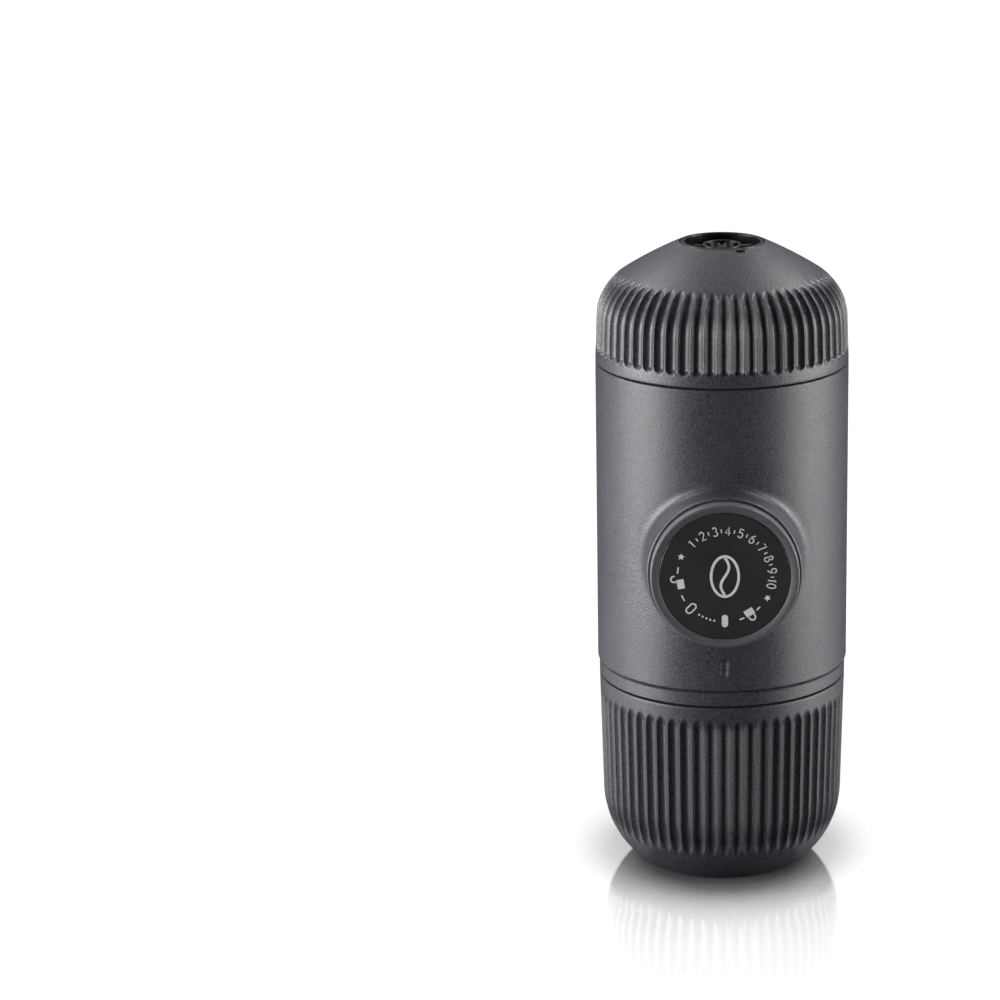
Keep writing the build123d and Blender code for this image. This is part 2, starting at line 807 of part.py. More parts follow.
spring_front = plate_back + spring_wire_radius + running_gap
spring_back = guide_end - spring_wire_radius - fit_gap
spring_length = spring_back - spring_front
with BuildPart() as piston_spring:
    with BuildLine() as coil:
        Helix(
            pitch=spring_length / spring_coils,
            height=spring_length,
            radius=spring_radius,
            center=(0, spring_front, knob_z),
            direction=(0, 1, 0),
        )
    with BuildSketch(Plane(origin=coil.line @ 0, z_dir=coil.line % 0)):
        Circle(spring_wire_radius)
    sweep(is_frenet=True)
finish(piston_spring.part, "piston_spring")

# ---------------------------------------------------------------- piston

pocket_floor = plate_back + hub_pocket_depth
hub_end = plate_back + hub_length
clip_front = pocket_floor - running_gap - clip_thickness
rod_front = clip_front - 0.7
with BuildPart() as piston_rod:
    with BuildSketch(front_plane(rod_front)):
        with Locations(in_front(0, 0)):
            Circle(rod_radius)
    extrude(amount=-(piston_face - 1.0 - rod_front))
    # collar that the knob's hub pushes on
    with BuildSketch(front_plane(hub_end + running_gap)):
        with Locations(in_front(0, 0)):
            Circle(rod_collar_radius)
    extrude(amount=-rod_collar_thickness)
    with BuildSketch(front_plane(clip_front - fit_gap / 2)):
        with Locations(in_front(0, 0)):
            Circle(rod_radius + 1.0)
            Circle(clip_groove_radius, mode=Mode.SUBTRACT)
    extrude(amount=-(clip_thickness + fit_gap), mode=Mode.SUBTRACT)
finish(piston_rod.part, "piston_rod")

piston_radius = bore_radius - piston_clearance
seal_centre = bore_radius - seal_clearance / 2 - seal_wire_radius
with BuildPart() as piston_head:
    with BuildSketch(front_plane(piston_back)):
        with Locations(in_front(0, 0)):
            Circle(piston_radius)
    extrude(amount=-piston_length)
    with BuildSketch(front_plane(piston_back)):
        with Locations(in_front(0, 0)):
            Circle(rod_radius)
    extrude(amount=-(piston_length - 1.0), mode=Mode.SUBTRACT)
    with BuildSketch(front_plane(piston_back + piston_length / 2 - seal_wire_radius)):
        with Locations(in_front(0, 0)):
            Circle(piston_radius + 1.0)
            Circle(seal_centre - seal_wire_radius - 0.02, mode=Mode.SUBTRACT)
    extrude(amount=-2 * seal_wire_radius, mode=Mode.SUBTRACT)
finish(piston_head.part, "piston_head")

with BuildPart() as piston_seal:
    with BuildSketch(Plane.XY.offset(knob_z)):
        with Locations((seal_centre, piston_back + piston_length / 2)):
            Circle(seal_wire_radius)
    revolve(axis=Axis((0, 0, knob_z), (0, 1, 0)))
finish(piston_seal.part, "piston_seal")

with BuildPart() as retaining_clip:
    with BuildSketch(front_plane(clip_front)):
        with Locations(in_front(0, 0)):
            Circle(clip_radius)
            Circle(clip_groove_radius + fit_gap / 2, mode=Mode.SUBTRACT)
        with Locations(in_front(0, clip_radius)):
            Rectangle(2.6, 2 * clip_radius - 4.0, mode=Mode.SUBTRACT)
    extrude(amount=-clip_thickness)
finish(retaining_clip.part, "retaining_clip")

# ---------------------------------------------------------------- knob

with BuildPart() as knob_cap:
    with BuildSketch(front_plane(knob_face)):
        with Locations(in_front(0, 0)):
            Circle(knob_radius)
    extrude(amount=-(skirt_end - knob_face))
    fillet(knob_cap.faces().sort_by(Axis.Y)[0].edges(), radius=lip_round)
    with BuildSketch(front_plane(skirt_end)):
        with Locations(in_front(0, 0)):
            Circle(knob_radius - skirt_wall)
    extrude(amount=skirt_end - plate_back, mode=Mode.SUBTRACT)
    with BuildSketch(front_plane(knob_face)):
        with Locations(in_front(0, 0)):
            Circle(bezel_inner_radius)
    extrude(amount=-bezel_height, mode=Mode.SUBTRACT)
    # hub for the rod, open to the front so that the clip can be fitted
    with BuildSketch(front_plane(plate_back)):
        with Locations(in_front(0, 0)):
            Circle(hub_radius)
    extrude(amount=-hub_length)
    with BuildSketch(front_plane(plate_front)):
        with Locations(in_front(0, 0)):
            Circle(hub_pocket_radius)
    extrude(amount=-(knob_plate + hub_pocket_depth), mode=Mode.SUBTRACT)
    with BuildSketch(front_plane(plate_front)):
        with Locations(in_front(0, 0)):
            Circle(rod_radius + rod_clearance)
    extrude(amount=-(knob_plate + hub_length), mode=Mode.SUBTRACT)
    # lugs at the skirt's inner end
    with BuildSketch(front_plane(skirt_end)):
        for number in range(lug_count):
            start = 90 + number * 360 / lug_count - lug_half_angle
            with BuildLine():
                for line_radius in (knob_radius - skirt_wall / 2, knob_radius + lug_height):
                    CenterArc(in_front(0, 0), line_radius, start, 2 * lug_half_angle)
                for angle in (start, start + 2 * lug_half_angle):
                    along = Vector(1, 0).rotate(Axis.Z, angle)
                    near = along * (knob_radius - skirt_wall / 2)
                    far = along * (knob_radius + lug_height)
                    Line(in_front(near.X, near.Y), in_front(far.X, far.Y))
            make_face()
    extrude(amount=lug_length)
finish(knob_cap.part, "knob_cap")

with BuildPart() as dial_disc:
    with BuildSketch(front_plane(plate_front)):
        with Locations(in_front(0, 0)):
            Circle(bezel_inner_radius - fit_gap)
    extrude(amount=dial_thickness)
    fillet(dial_disc.faces().sort_by(Axis.Y)[0].edges(), radius=0.25)
finish(dial_disc.part, "dial_disc")

# ---------------------------------------------------------------- tank

seal_bottom = coupling_top + running_gap
collar_bottom = seal_bottom + seal_thickness + running_gap
collar_top = neck_top + collar_above_neck
collar_outer_radius = tank_inner - tank_taper - fit_gap
tank_seal = ring(thread_root - fit_gap, tank_inner - 2 * running_gap, seal_bottom, seal_thickness)
finish(tank_seal, "tank_seal")

with BuildPart() as tank_collar:
    with BuildSketch(Plane.XY.offset(collar_bottom)):
        Circle(collar_outer_radius)
        Circle(thread_root, mode=Mode.SUBTRACT)
    extrude(amount=collar_top - collar_bottom)
    with PolarLocations(0, thread_starts):
        add(collar_ridge)
finish(tank_collar.part, "tank_collar")

tank_side_radius = body_radius - tank_taper
with BuildPart() as tank_outside:
    with BuildSketch(Plane.XZ):
        with BuildLine():
            wall = Line((body_radius, tank_bottom), (tank_side_radius, tank_bottom + tank_side_height))
            lean_angle = math.degrees(math.atan2(tank_taper, tank_side_height))
            shoulder = JernArc(
                wall @ 1, wall % 1, tank_shoulder_radius, tank_shoulder_angle - lean_angle
            )
            dome = TangentArc(shoulder @ 1, (tank_top_radius, tank_top), tangent=shoulder % 1)
            Polyline(dome @ 1, (0, tank_top), (0, tank_bottom), wall @ 0)
        make_face()
    revolve(axis=Axis.Z)

with BuildLine(Plane.XZ) as tank_flute_path:
    run_z = tank_bottom + tank_flute_bottom
    full_z = run_z + tank_flute_runout
    up = Line(
        (body_radius - tank_taper * tank_flute_bottom / tank_side_height + flute_offset, full_z),
        (tank_side_radius + flute_offset, tank_bottom + tank_side_height),
    )
    TangentArc(up @ 0, (body_radius + flute_radius, run_z), tangent=(up % 0) * -1)
    shoulder_centre = Vector(tank_side_radius - tank_shoulder_radius, tank_bottom + tank_side_height)
    reach = tank_shoulder_radius + flute_radius
    flute_end = shoulder_centre + Vector(reach, 0).rotate(Axis.Z, tank_flute_end_angle)
    TangentArc(up @ 1, (flute_end.X, flute_end.Y), tangent=up % 1)
tank_flute = flute_cutter(tank_flute_path.wire())

vent_floor_z = tank_top - vent_recess_depth
plug_top = tank_top + 0.1
plug_outer = vent_recess_radius - fit_gap / 2
plug_inner = plug_outer - vent_ring_width


def finger_tab(clearance):
    """The tab's outline across the edge of the tank's vent recess."""
    with BuildSketch() as outline:
        with Locations(Location((0, 0), tab_angle)):
            with Locations((plug_outer + 0.1, 0)):
                SlotOverall(tab_width + clearance, tab_length + clearance, rotation=90)
    return outline.sketch


with BuildPart() as water_tank:
    add(tank_outside.part)
    offset(amount=-tank_wall, openings=water_tank.faces().sort_by(Axis.Z)[0])
    outer_edge = water_tank.faces().sort_by(Axis.Z)[0].edges().sort_by(SortBy.RADIUS)[-1]
    fillet(outer_edge, radius=edge_round)
    with BuildSketch(Plane.XY.offset(vent_floor_z - vent_floor)):
        Circle(vent_recess_radius + 2.1)
    extrude(amount=vent_floor + 0.5)
    with BuildSketch(Plane.XY.offset(vent_floor_z)):
        Circle(vent_recess_radius)
    extrude(amount=vent_recess_depth + 1.0, mode=Mode.SUBTRACT)
    with BuildSketch(Plane.XY.offset(vent_floor_z - vent_floor)):
        Circle(vent_hole_radius)
    extrude(amount=vent_floor, mode=Mode.SUBTRACT)
    with BuildSketch(Plane.XY.offset(plug_top - tab_thickness - fit_gap)):
        add(finger_tab(2 * fit_gap))
    extrude(amount=tab_thickness + 1.0, mode=Mode.SUBTRACT)
    with PolarLocations(0, flute_count):
        add(tank_flute, mode=Mode.SUBTRACT)
finish(water_tank.part, "water_tank")

# ---------------------------------------------------------------- vent plug and air valve

with BuildPart() as vent_plug:
    with BuildSketch(Plane.XY.offset(vent_floor_z)):
        Circle(plug_outer)
        Circle(plug_inner, mode=Mode.SUBTRACT)
    extrude(amount=plug_top - vent_floor_z)
    with BuildSketch(Plane.XY.offset(vent_floor_z)):
        Circle(vent_hub_radius)
        for angle in (30, 150, 270):
            with Locations(Location((0, 0), angle)):
                Rectangle(plug_outer - 0.3, vent_spoke_width, align=(Align.MIN, Align.CENTER))
    extrude(amount=vent_web)
    with BuildSketch(Plane.XY.offset(vent_floor_z)):
        Circle(vent_hub_radius)
        Circle(vent_hub_radius - vent_hub_wall, mode=Mode.SUBTRACT)
        Rectangle(2 * vent_hub_radius - vent_hub_wall, vent_bar_width)
        Rectangle(vent_bar_width, 2 * vent_hub_radius - vent_hub_wall)
    extrude(amount=vent_recess_depth - vent_web)
    # finger tab over the tank's edge
    with BuildSketch(Plane.XY.offset(plug_top - tab_thickness)):
        add(finger_tab(0))
        Circle(plug_inner, mode=Mode.SUBTRACT)
    extrude(amount=tab_thickness)
    # through hole to the air valve
    with BuildSketch(Plane.XY.offset(vent_floor_z)):
        with PolarLocations(2.3, 4, start_angle=45):
            Circle(0.7)
    extrude(amount=vent_web, mode=Mode.SUBTRACT)
finish(vent_plug.part, "vent_plug")

membrane_top = vent_floor_z - vent_floor
with BuildPart() as air_valve:
    with BuildSketch(Plane.XY.offset(membrane_top)):
        Circle(vent_hole_radius + 2.0)
    extrude(amount=-valve_disc_thickness)
    with BuildSketch(Plane.XY.offset(membrane_top)):
        Circle(valve_stem_radius)
    extrude(amount=vent_floor - 0.3)
finish(air_valve.part, "air_valve")
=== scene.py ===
"""Looks of the handheld manual espresso maker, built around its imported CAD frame.

Shapes are in millimetres, and MM scales them into the frame's metres. +Z is up, the knob faces -Y.
The fluted cup, the fluted tank, the barrel's shell, the knob and the vent insert are modelled again with
their soft edges, and the dial gets its print. Every other CAD node keeps its shape and gets a finish.
"""

import json
import math

import bmesh
import bpy
import numpy as np
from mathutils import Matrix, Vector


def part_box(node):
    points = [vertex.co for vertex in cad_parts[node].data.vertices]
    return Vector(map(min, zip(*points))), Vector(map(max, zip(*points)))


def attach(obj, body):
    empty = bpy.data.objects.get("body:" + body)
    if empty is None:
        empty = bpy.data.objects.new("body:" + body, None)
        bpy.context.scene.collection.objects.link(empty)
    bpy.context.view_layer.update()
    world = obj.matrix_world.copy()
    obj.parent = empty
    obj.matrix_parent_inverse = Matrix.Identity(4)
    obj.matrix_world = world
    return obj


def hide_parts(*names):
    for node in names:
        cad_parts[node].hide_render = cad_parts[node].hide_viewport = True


MM = 0.001
FULL_TURN = 2 * math.pi

# -------- sizes that the frame does not give

SHARP_ANGLE = math.radians(38)
WELD_REACH = 1e-7  # metres

# Flutes of cup and tank
FLUTE_COUNT = 60
FLUTE_HALF_WIDTH = 1.45
FLUTE_DEPTH = 1.02
FLUTE_SOFTENING = 0.2  # how far its two edges are rounded
# mesh columns from the middle of a flute to its edge, and from there to the middle of the ridge
FLUTE_COLUMNS = (0.0, 0.2, 0.39, 0.56, 0.7, 0.81, 0.89, 0.95, 1.0)
RIDGE_COLUMNS = (0.12, 0.3, 0.6, 1.0)
# where a flute's edge column lies, in pitches from its middle: at least, on plain rings, at most
LEAST_EDGE, PLAIN_EDGE, MOST_EDGE = 0.15, 0.42, 0.45
FINE_COLUMNS = FLUTE_COUNT * 2 * (len(FLUTE_COLUMNS) + len(RIDGE_COLUMNS) - 1)
COARSE_COLUMNS = FLUTE_COUNT * 4

CUP_WALL = 2.0
CUP_SHOULDER = (29.6, 17.4)  # radius, height
CUP_BASE_RADIUS = 20.5
CUP_BASE_ROUND = 0.5
CUP_BASE_TUCK = 0.275  # from the base's edge in to the middle of its rounding
CUP_BASE_MARGIN = 1.5  # degrees of the bowl that the base's rounding takes up
CUP_FLAT_RINGS = (9.0, 6.0)  # radii of the mesh rings in the flat base and in the floor
CUP_FLAT_MARGINS = (0.3, 0.8)  # from each one's edge in to the next ring
CUP_RIM_ROUND = 0.35
CUP_FLUTE_TOP = 3.2  # below the rim
CUP_FLUTE_END_ANGLE = 29.5  # round the bowl, below level
CUP_RUNOUTS = (6.0, 3.0)  # lengths over which the flutes fade, at bowl and rim

TANK_WALL = 2.4
TANK_SIDE_HEIGHT = 10.9
TANK_TAPER = 0.37
TANK_EDGE_ROUND = 0.35
TANK_SHOULDER_RADIUS = 13.0
TANK_SHOULDER_ANGLE = 57.0
TANK_TOP_RADIUS = 10.5
TANK_FLUTE_BOTTOM = 2.7  # above the tank's lower edge
TANK_FLUTE_REACH = 1.6  # over the dome, past the shoulder
TANK_RUNOUTS = (1.5, 5.0)  # the same, at the lower edge and over the dome
VENT_LIP = (0.03, 0.05)  # where the dome ends: outside the recess's flat lip, and below it
VENT_LIP_EDGE = 0.04
VENT_RECESS_RADIUS = 10.36
VENT_RECESS_DEPTH = 3.0
VENT_FLOOR = 2.5
VENT_HOLE_RADIUS = 2.6
VENT_BOSS_RADIUS = 12.3

SHELL_END_ROUND = 0.35
SHELL_END_CHAMFER = 0.12
SHELL_INNER = 27.9
SHELL_END_BORE = (28.75, 5.05, 5.15)  # radius, and depth at the bottom and the top
BOSS_RADIUS = 18.5
BOSS_EDGE = 0.6
BOSS_FLARE = 3.2  # how far its foot runs out over the barrel
GUIDE_BORE = 17.79
GUIDE_LIP = 2.6  # depth of the bore in front of the lugs' groove
GUIDE_EDGE = 0.07
GUIDE_GROOVE = 18.42
GUIDE_OUTER = 20.25
GUIDE_TAIL = 3.8  # behind the knob's skirt
# the part of the shell round the boss that is meshed about the knob's axis
FRAME_TURN = 52.0  # degrees each side of the front
FRAME_HEIGHT = 22.4  # above and below the knob's axis
FRAME_RINGS = 8
FLARE_RINGS = 20
SPOKE_STEP = 1.5  # degrees
FINE_SPOKES = (4.0, 0.4)  # degrees each side of straight up and down, and the closer step there
BACK_COLUMNS = 136
MARK_HEIGHT = 6.0  # index mark's middle above the shell's lower edge
MARK_SIZE = (2.7, 5.4, 0.42)  # width, length, depth
MARK_SLOPE = 1.15  # width of its sloping side

KNOB_PLATE_DEPTH = 1.5  # from the knob's face to the plate that carries the dial
KNOB_PLATE = 1.5
KNOB_WALL = 1.4
KNOB_HUB_RADIUS = 7.0
KNOB_HUB_LENGTH = 5.0
KNOB_POCKET_RADIUS = 5.6
KNOB_POCKET_DEPTH = 1.7
KNOB_BORE = 3.56
KNOB_COLUMNS = 720
KNOB_CREST = 0.65  # radius of the bright crest round the face
BEZEL_INNER_RADIUS = 15.6
BEZEL_INNER_ROUND = 0.12
BEZEL_DROP = 0.33
LUG_ANGLES = (90, 210, 330)
LUG_HALF_ANGLE = 8.0
LUG_HEIGHT = 0.65
LUG_LENGTH = 3.0
LUG_RISE = 0.02  # length over which a lug rises from the skirt

# Print on the dial. Angles are in degrees, anticlockwise from the right
PRINT_THICKNESS = 0.03
PRINT_RADIUS = 11.2
PRINT_LINE = 0.36
NUMBER_COUNT = 10
NUMBER_ARC = (134.0, -9.0)
DIGIT_LINE = 0.27
DIGIT_SHIFT = 0.66  # of each figure in a number of two
TICK_SIZE = (0.9, 0.26)  # length, width
POINTER_SIZE = (3.1, 1.5)
POINTER_RADIUS = 11.0
POINTER_ANGLE = 270
HOLLOW_SIZE = (2.7, 1.45)  # the mark that the pointer turns to
HOLLOW_ANGLE = 224.5
DOT_RADIUS = 0.25
DOT_ANGLES = (237, 242, 247, 252, 257)
STAR_SIZE = (0.85, 0.425)  # radius to its tips, and between them
STAR_RADIUS = 11.4
STAR_ANGLES = (154.6, -28.0)
LOCK_BODY = (1.15, -1.45, 0.25)  # half width, foot, top
LOCK_SHACKLE = (0.72, 0.75)  # half width, height
LOCK_LEG = 0.15  # foot of a shut leg
LOCK_SWING = (1.45, 0.45)  # how far an open shackle is moved, and its free leg's foot
LOCK_MARKS = ((True, 190, (14, 22)), (False, -57, (9, 15)))  # open, angle, reach of its side bars
BAR_LINE = 0.34
BEAN_SIZE = (3.25, 4.95)  # half width, half height
BEAN_CREASE = (0.95, 4.6)
BEAN_LINE = 0.62

# Rubber insert in the tank's top
VENT_PLAY = (0.05, 0.02)  # round the ring, and under it
VENT_RING_WIDTH = 1.35
VENT_RING_ROUND = 0.4
VENT_HUB_RADIUS = 5.0
VENT_HUB_WALL = 1.2
VENT_HUB_DROP = 0.75  # below the ring
VENT_HUB_CHAMFER = 0.25
VENT_WEB = 0.9
VENT_BUTTON = (0.35, 0.9, 0.1)  # radius of its flat top, rounding, width of its foot
VENT_SINK = 0.1  # of petals into the web, and of the tab over the recess's edge
PETAL_ANGLES = (45, 135, 225, 315)
PETAL_PLACE = 2.15
PETAL_RADIUS = 1.1
PETAL_BAR = (0.6, 1.15, 0.28)  # width, height, rounding
SPOKE_ANGLES = (30, 150, 270)
SPOKE_PLACES = (4.2, 6.0, 7.5)  # radii of its mesh sections, before the last in the ring
SPOKE_BAR = (1.6, 1.4, 0.4)
TAB_ANGLE = -66.0
TAB_SIZE = (3.6, 2.6, 0.9)  # along the rim, across it, thickness
TAB_EDGES = (0.2, 0.3, 0.09)  # lower chamfer, upper rounding, and inset half way round that

# Moulded grain: sizes of its lumps and specks in grains, and the lumps' depth in grain depths
LUMP_SIZE, SPECK_SIZE, LUMP_DEPTH = 3.1, 1.5, 0.05
FLOW_SIZE = 17.0
GRAIN_GLOSS, FLOW_GLOSS = 0.07, 0.02  # how far they change the roughness
NOISE_RANGE = (0.3, 0.7)  # where most of a noise's values lie

# Studio, in metres
FLOOR_LEVEL = -0.0001
FLOOR_REACH = 40.0
FLOOR_PAINTED_SHADE_REACH = 0.25
# painted shade: how white the floor's glow is at each openness to the sky, darkest next to the object
FLOOR_PAINTED_SHADE = (
    (0.1, 0.0), (0.35, 0.013), (0.58, 0.097), (0.7, 0.4),
    (0.8, 0.725), (0.9, 0.81), (0.95, 0.92), (0.99, 1.0),
)
FLOOR_GLOSS = 0.46
FLAG_RADIUS = 1.6
FLAG_COLUMNS = 49
# the black wall's bands: lower and upper height, and degrees left open behind the object
WALL_BANDS = ((-0.01, 0.6, 0.0), (0.6, 0.85, 60.0), (0.85, 1.6, 30.0))
FLAG_HEIGHT = 1.6
TOP_OPENING = 0.01
BACK_OPENING = 30.0
FLOOR_FLAG_INNER = 0.021
FLOOR_FLAG_HEIGHT = 0.0005
FLOOR_FLAG_SPREADS = ((-90, 55.0), (90, 52.0))  # bearing of the middle, and degrees each side of it
SOFTBOX_DISTANCE = 1.0
SOFTBOX_AIM = 0.08  # height that they look at
# name, degrees round from the front, degrees up, width, height, power
SOFTBOXES = (
    ("left_box", -74, 6, 0.8, 0.34, 20),
    ("right_box", 82, 6, 0.8, 0.34, 13.2),
    ("left_rim_box", -116, 48, 0.5, 0.4, 8.4),
    ("right_rim_box", 116, 48, 0.5, 0.4, 8.8),
)

# Camera, as fitted to the photograph
CAMERA_LENS = 130.36  # millimetres, on the sensor's width
CAMERA_SENSOR = 36.0
CAMERA_SHIFT = -0.222
CAMERA_DISTANCE = 0.8538  # level, from the object's axis
CAMERA_HEIGHT = 0.3371
CAMERA_BEARING = math.radians(1.0)  # to the left of the front
CAMERA_TILT = math.radians(16.07)

# -------- outlines of (radius, height) points


def straight(start, end, step):
    """Points from start towards end, without the end itself."""
    count = max(1, math.ceil(math.dist(start, end) / step))
    return [tuple(a + (b - a) * i / count for a, b in zip(start, end)) for i in range(count)]


def arc(centre, radius, start, turn, step):
    """Points round a centre from the start angle through the turn, in degrees, without the last."""
    count = max(3, math.ceil(abs(math.radians(turn)) * radius / step))
    angles = (math.radians(start + turn * i / count) for i in range(count))
    return [(centre[0] + radius * math.cos(a), centre[1] + radius * math.sin(a)) for a in angles]


def bow(centre, across, up, start, end, count=14):
    """So many points round an ellipse, from one angle to another in degrees."""
    angles = np.radians(np.linspace(start, end, count))
    return [(centre[0] + across * math.cos(a), centre[1] + up * math.sin(a)) for a in angles]


def tangent_arc(start, heading, end):
    """Centre, radius, start angle and turn of the arc that leaves start along heading and meets end."""
    start, along = np.array(start), np.array(heading) / math.hypot(*heading)
    side = np.array((-along[1], along[0]))
    chord = end - start
    sideways = chord @ side
    reach = chord @ chord / (2 * sideways)
    centre = start + side * reach
    x, y = start - centre
    turn = 2 * math.degrees(math.atan2(sideways, chord @ along))
    return centre, abs(reach), math.degrees(math.atan2(y, x)), turn


def outline_normals(outline):
    """Unit normals, to the right of the way the outline runs."""
    points = np.asarray(outline, float)
    run = np.gradient(points, axis=0)
    normals = np.stack((run[:, 1], -run[:, 0]), axis=1)
    return normals / np.linalg.norm(normals, axis=1, keepdims=True)


def inside(outline, wall):
    """The outline moved inwards by a wall, run backwards."""
    moved = np.asarray(outline) - wall * outline_normals(outline)
    return [tuple(p) for p in moved[::-1]]


# -------- meshes


def joined(low, low_count, high, high_count):
    """Faces between two rings of vertices. A ring may be one point, or have a multiple of the other's."""
    if low_count == 1:
        return [(low, high + (j + 1) % high_count, high + j) for j in range(high_count)]
    if high_count == 1:
        return [(low + j, low + (j + 1) % low_count, high) for j in range(low_count)]
    coarse = min(low_count, high_count)
    down, up = low_count // coarse, high_count // coarse
    faces = []
    for j in range(coarse):
        bottom = [low + (down * j + i) % low_count for i in range(down + 1)]
        top = [high + (up * (j + 1) - i) % high_count for i in range(up + 1)]
        faces.append(tuple(bottom + top))
    return faces


def skin(rings, closed=False):
    """Vertices and faces of a surface through rings of points."""
    starts = np.cumsum([0] + [len(r) for r in rings])
    pairs = [(i, i + 1) for i in range(len(rings) - 1)]
    if closed:
        pairs.append((len(rings) - 1, 0))
    faces = []
    for a, b in pairs:
        faces += joined(int(starts[a]), len(rings[a]), int(starts[b]), len(rings[b]))
    return np.concatenate(rings), faces


def capped(rings):
    """A solid through rings of points, with a flat face over each end."""
    points, faces = skin(rings)
    first, last = len(rings[0]), len(points)
    faces.append(tuple(range(first - 1, -1, -1)))
    faces.append(tuple(range(last - len(rings[-1]), last)))
    return points, faces


def merged(parts):
    """Several vertex and face lists as one."""
    points, faces, start = [], [], 0
    for some_points, some_faces in parts:
        points.append(np.asarray(some_points, float))
        faces += [tuple(start + i for i in face) for face in some_faces]
        start += len(some_points)
    return np.concatenate(points), faces


def added(name, data):
    """A new object in the scene."""
    thing = bpy.data.objects.new(name, data)
    bpy.context.scene.collection.objects.link(thing)
    return thing


def new_piece(name, parts, body, slot, replaced=(), finish=None, weld=False):
    """A mesh object from (vertices, faces) parts in millimetres, riding on its body."""
    points, faces = merged(parts)
    mesh = bpy.data.meshes.new(name)
    mesh.from_pydata((points * MM).tolist(), [], faces)
    mesh.validate()
    if weld:
        work = bmesh.new()
        work.from_mesh(mesh)
        bmesh.ops.remove_doubles(work, verts=work.verts, dist=WELD_REACH)
        bmesh.ops.recalc_face_normals(work, faces=work.faces)
        work.to_mesh(mesh)
        work.free()
    mesh.shade_smooth()
    mesh.set_sharp_from_angle(angle=SHARP_ANGLE)
    mesh.materials.append(FINISHES[finish or slot])
    piece = added(name, mesh)
    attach(piece, body)
    if replaced:
        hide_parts(*replaced)


def flute_places(edge):
    """Columns from one flute's middle to the next one's, in pitches, with its edge at that place."""
    half = [edge * c for c in FLUTE_COLUMNS] + [edge + (0.5 - edge) * c for c in RIDGE_COLUMNS]
    return np.array(half + [1 - place for place in half[-2:0:-1]])


def column_angles(count, places=None):
    """Angles of one ring's columns: even, or for a fluted ring closest along the flutes' edges."""
    if count != FINE_COLUMNS:
        return np.arange(count) * FULL_TURN / count
    places = flute_places(PLAIN_EDGE) if places is None else places
    return (np.arange(FLUTE_COUNT)[:, None] + places[None, :]).ravel() * FULL_TURN / FLUTE_COUNT


def sheet(rows):
    """Vertices and faces of an open surface through rows of points."""
    count = len(rows[0])
    faces = []
    for i in range(len(rows) - 1):
        low, high = i * count, (i + 1) * count
        faces += [(low + j, low + j + 1, high + j + 1, high + j) for j in range(count - 1)]
    return np.concatenate(rows), faces


def turned(outline, columns, cuts=None):
    """Rings about Z for an outline. The cut of a fluted ring gives its columns' places and depths."""
    rings = []
    normals = outline_normals(outline)
    for i, (radius, height) in enumerate(outline):
        if radius == 0:
            rings.append(np.array([(0.0, 0.0, height)]))
            continue
        count = columns if np.isscalar(columns) else columns[i]
        places, cut = cuts[i] if cuts and cuts[i] else (None, 0.0)
        angles = column_angles(count, places)
        reach = radius - cut * normals[i][0]
        level = np.broadcast_to(height - cut * normals[i][1], angles.shape)
        rings.append(np.stack((reach * np.cos(angles), reach * np.sin(angles), level), axis=1))
    return rings


def swept(path, section, closed=False):
    """A solid: an (across, up) section carried along level (x, y, z) points."""
    path = np.asarray(path, float)
    run = np.roll(path, -1, axis=0) - np.roll(path, 1, axis=0) if closed else np.gradient(path, axis=0)
    side = np.stack((run[:, 1], -run[:, 0]), axis=1)
    side /= np.linalg.norm(side, axis=1, keepdims=True)
    rings = []
    for (x, y, z), (sx, sy) in zip(path, side):
        rings.append(np.array([(x + across * sx, y + across * sy, z + up) for across, up in section]))
    return skin(rings, closed=True) if closed else capped(rings)


def placed(part, distance, angle, across=0.0):
    """A part drawn at the origin, moved out that far along +Y and then turned, +Y to the angle."""
    points, faces = part
    turn = math.radians(angle - 90)
    c, s = math.cos(turn), math.sin(turn)
    x, y = points[:, 0] + across, points[:, 1] + distance
    return np.stack((c * x - s * y, s * x + c * y, points[:, 2]), axis=1), faces


# -------- flutes


def flute_cut(radius, lifted):
    """Columns of one flute on a ring, and the depth of all its flutes, with the tool lifted that far."""
    pitch = FULL_TURN * radius / FLUTE_COUNT
    half_width = FLUTE_HALF_WIDTH * math.sqrt(max(0.0, 1 - lifted / FLUTE_DEPTH))
    places = flute_places(min(max(half_width / pitch, LEAST_EDGE), MOST_EDGE))
    across = np.minimum(places, 1 - places) * pitch
    tool = FLUTE_DEPTH * (1 - (across / FLUTE_HALF_WIDTH) ** 2) - lifted
    soft = np.maximum(FLUTE_SOFTENING - np.abs(tool), 0) / FLUTE_SOFTENING
    return places, np.tile(np.maximum(tool, 0) + soft**2 * FLUTE_SOFTENING / 4, FLUTE_COUNT)


def flute_cuts(outline, first, last, runouts, soft):
    """Cuts for the rings of an outline, from point number first to last, fading out over the runouts.

    An end is round as the tool leaves it, or soft, with a long pointed tip.
    """
    points = np.asarray(outline)
    along = np.concatenate(([0], np.cumsum(np.linalg.norm(np.diff(points, axis=0), axis=1))))
    lift = FLUTE_DEPTH + FLUTE_SOFTENING
    cuts = [None] * len(outline)
    for i in range(first, last + 1):
        ends = (along[i] - along[first], along[last] - along[i])
        near = [max(0.0, 1 - distance / runout) for distance, runout in zip(ends, runouts)]
        fade = max(n**2 * (3 - 2 * n) if is_soft else n**2 for n, is_soft in zip(near, soft))
        cuts[i] = flute_cut(points[i][0], lift * fade)
    return cuts


# -------- finishes


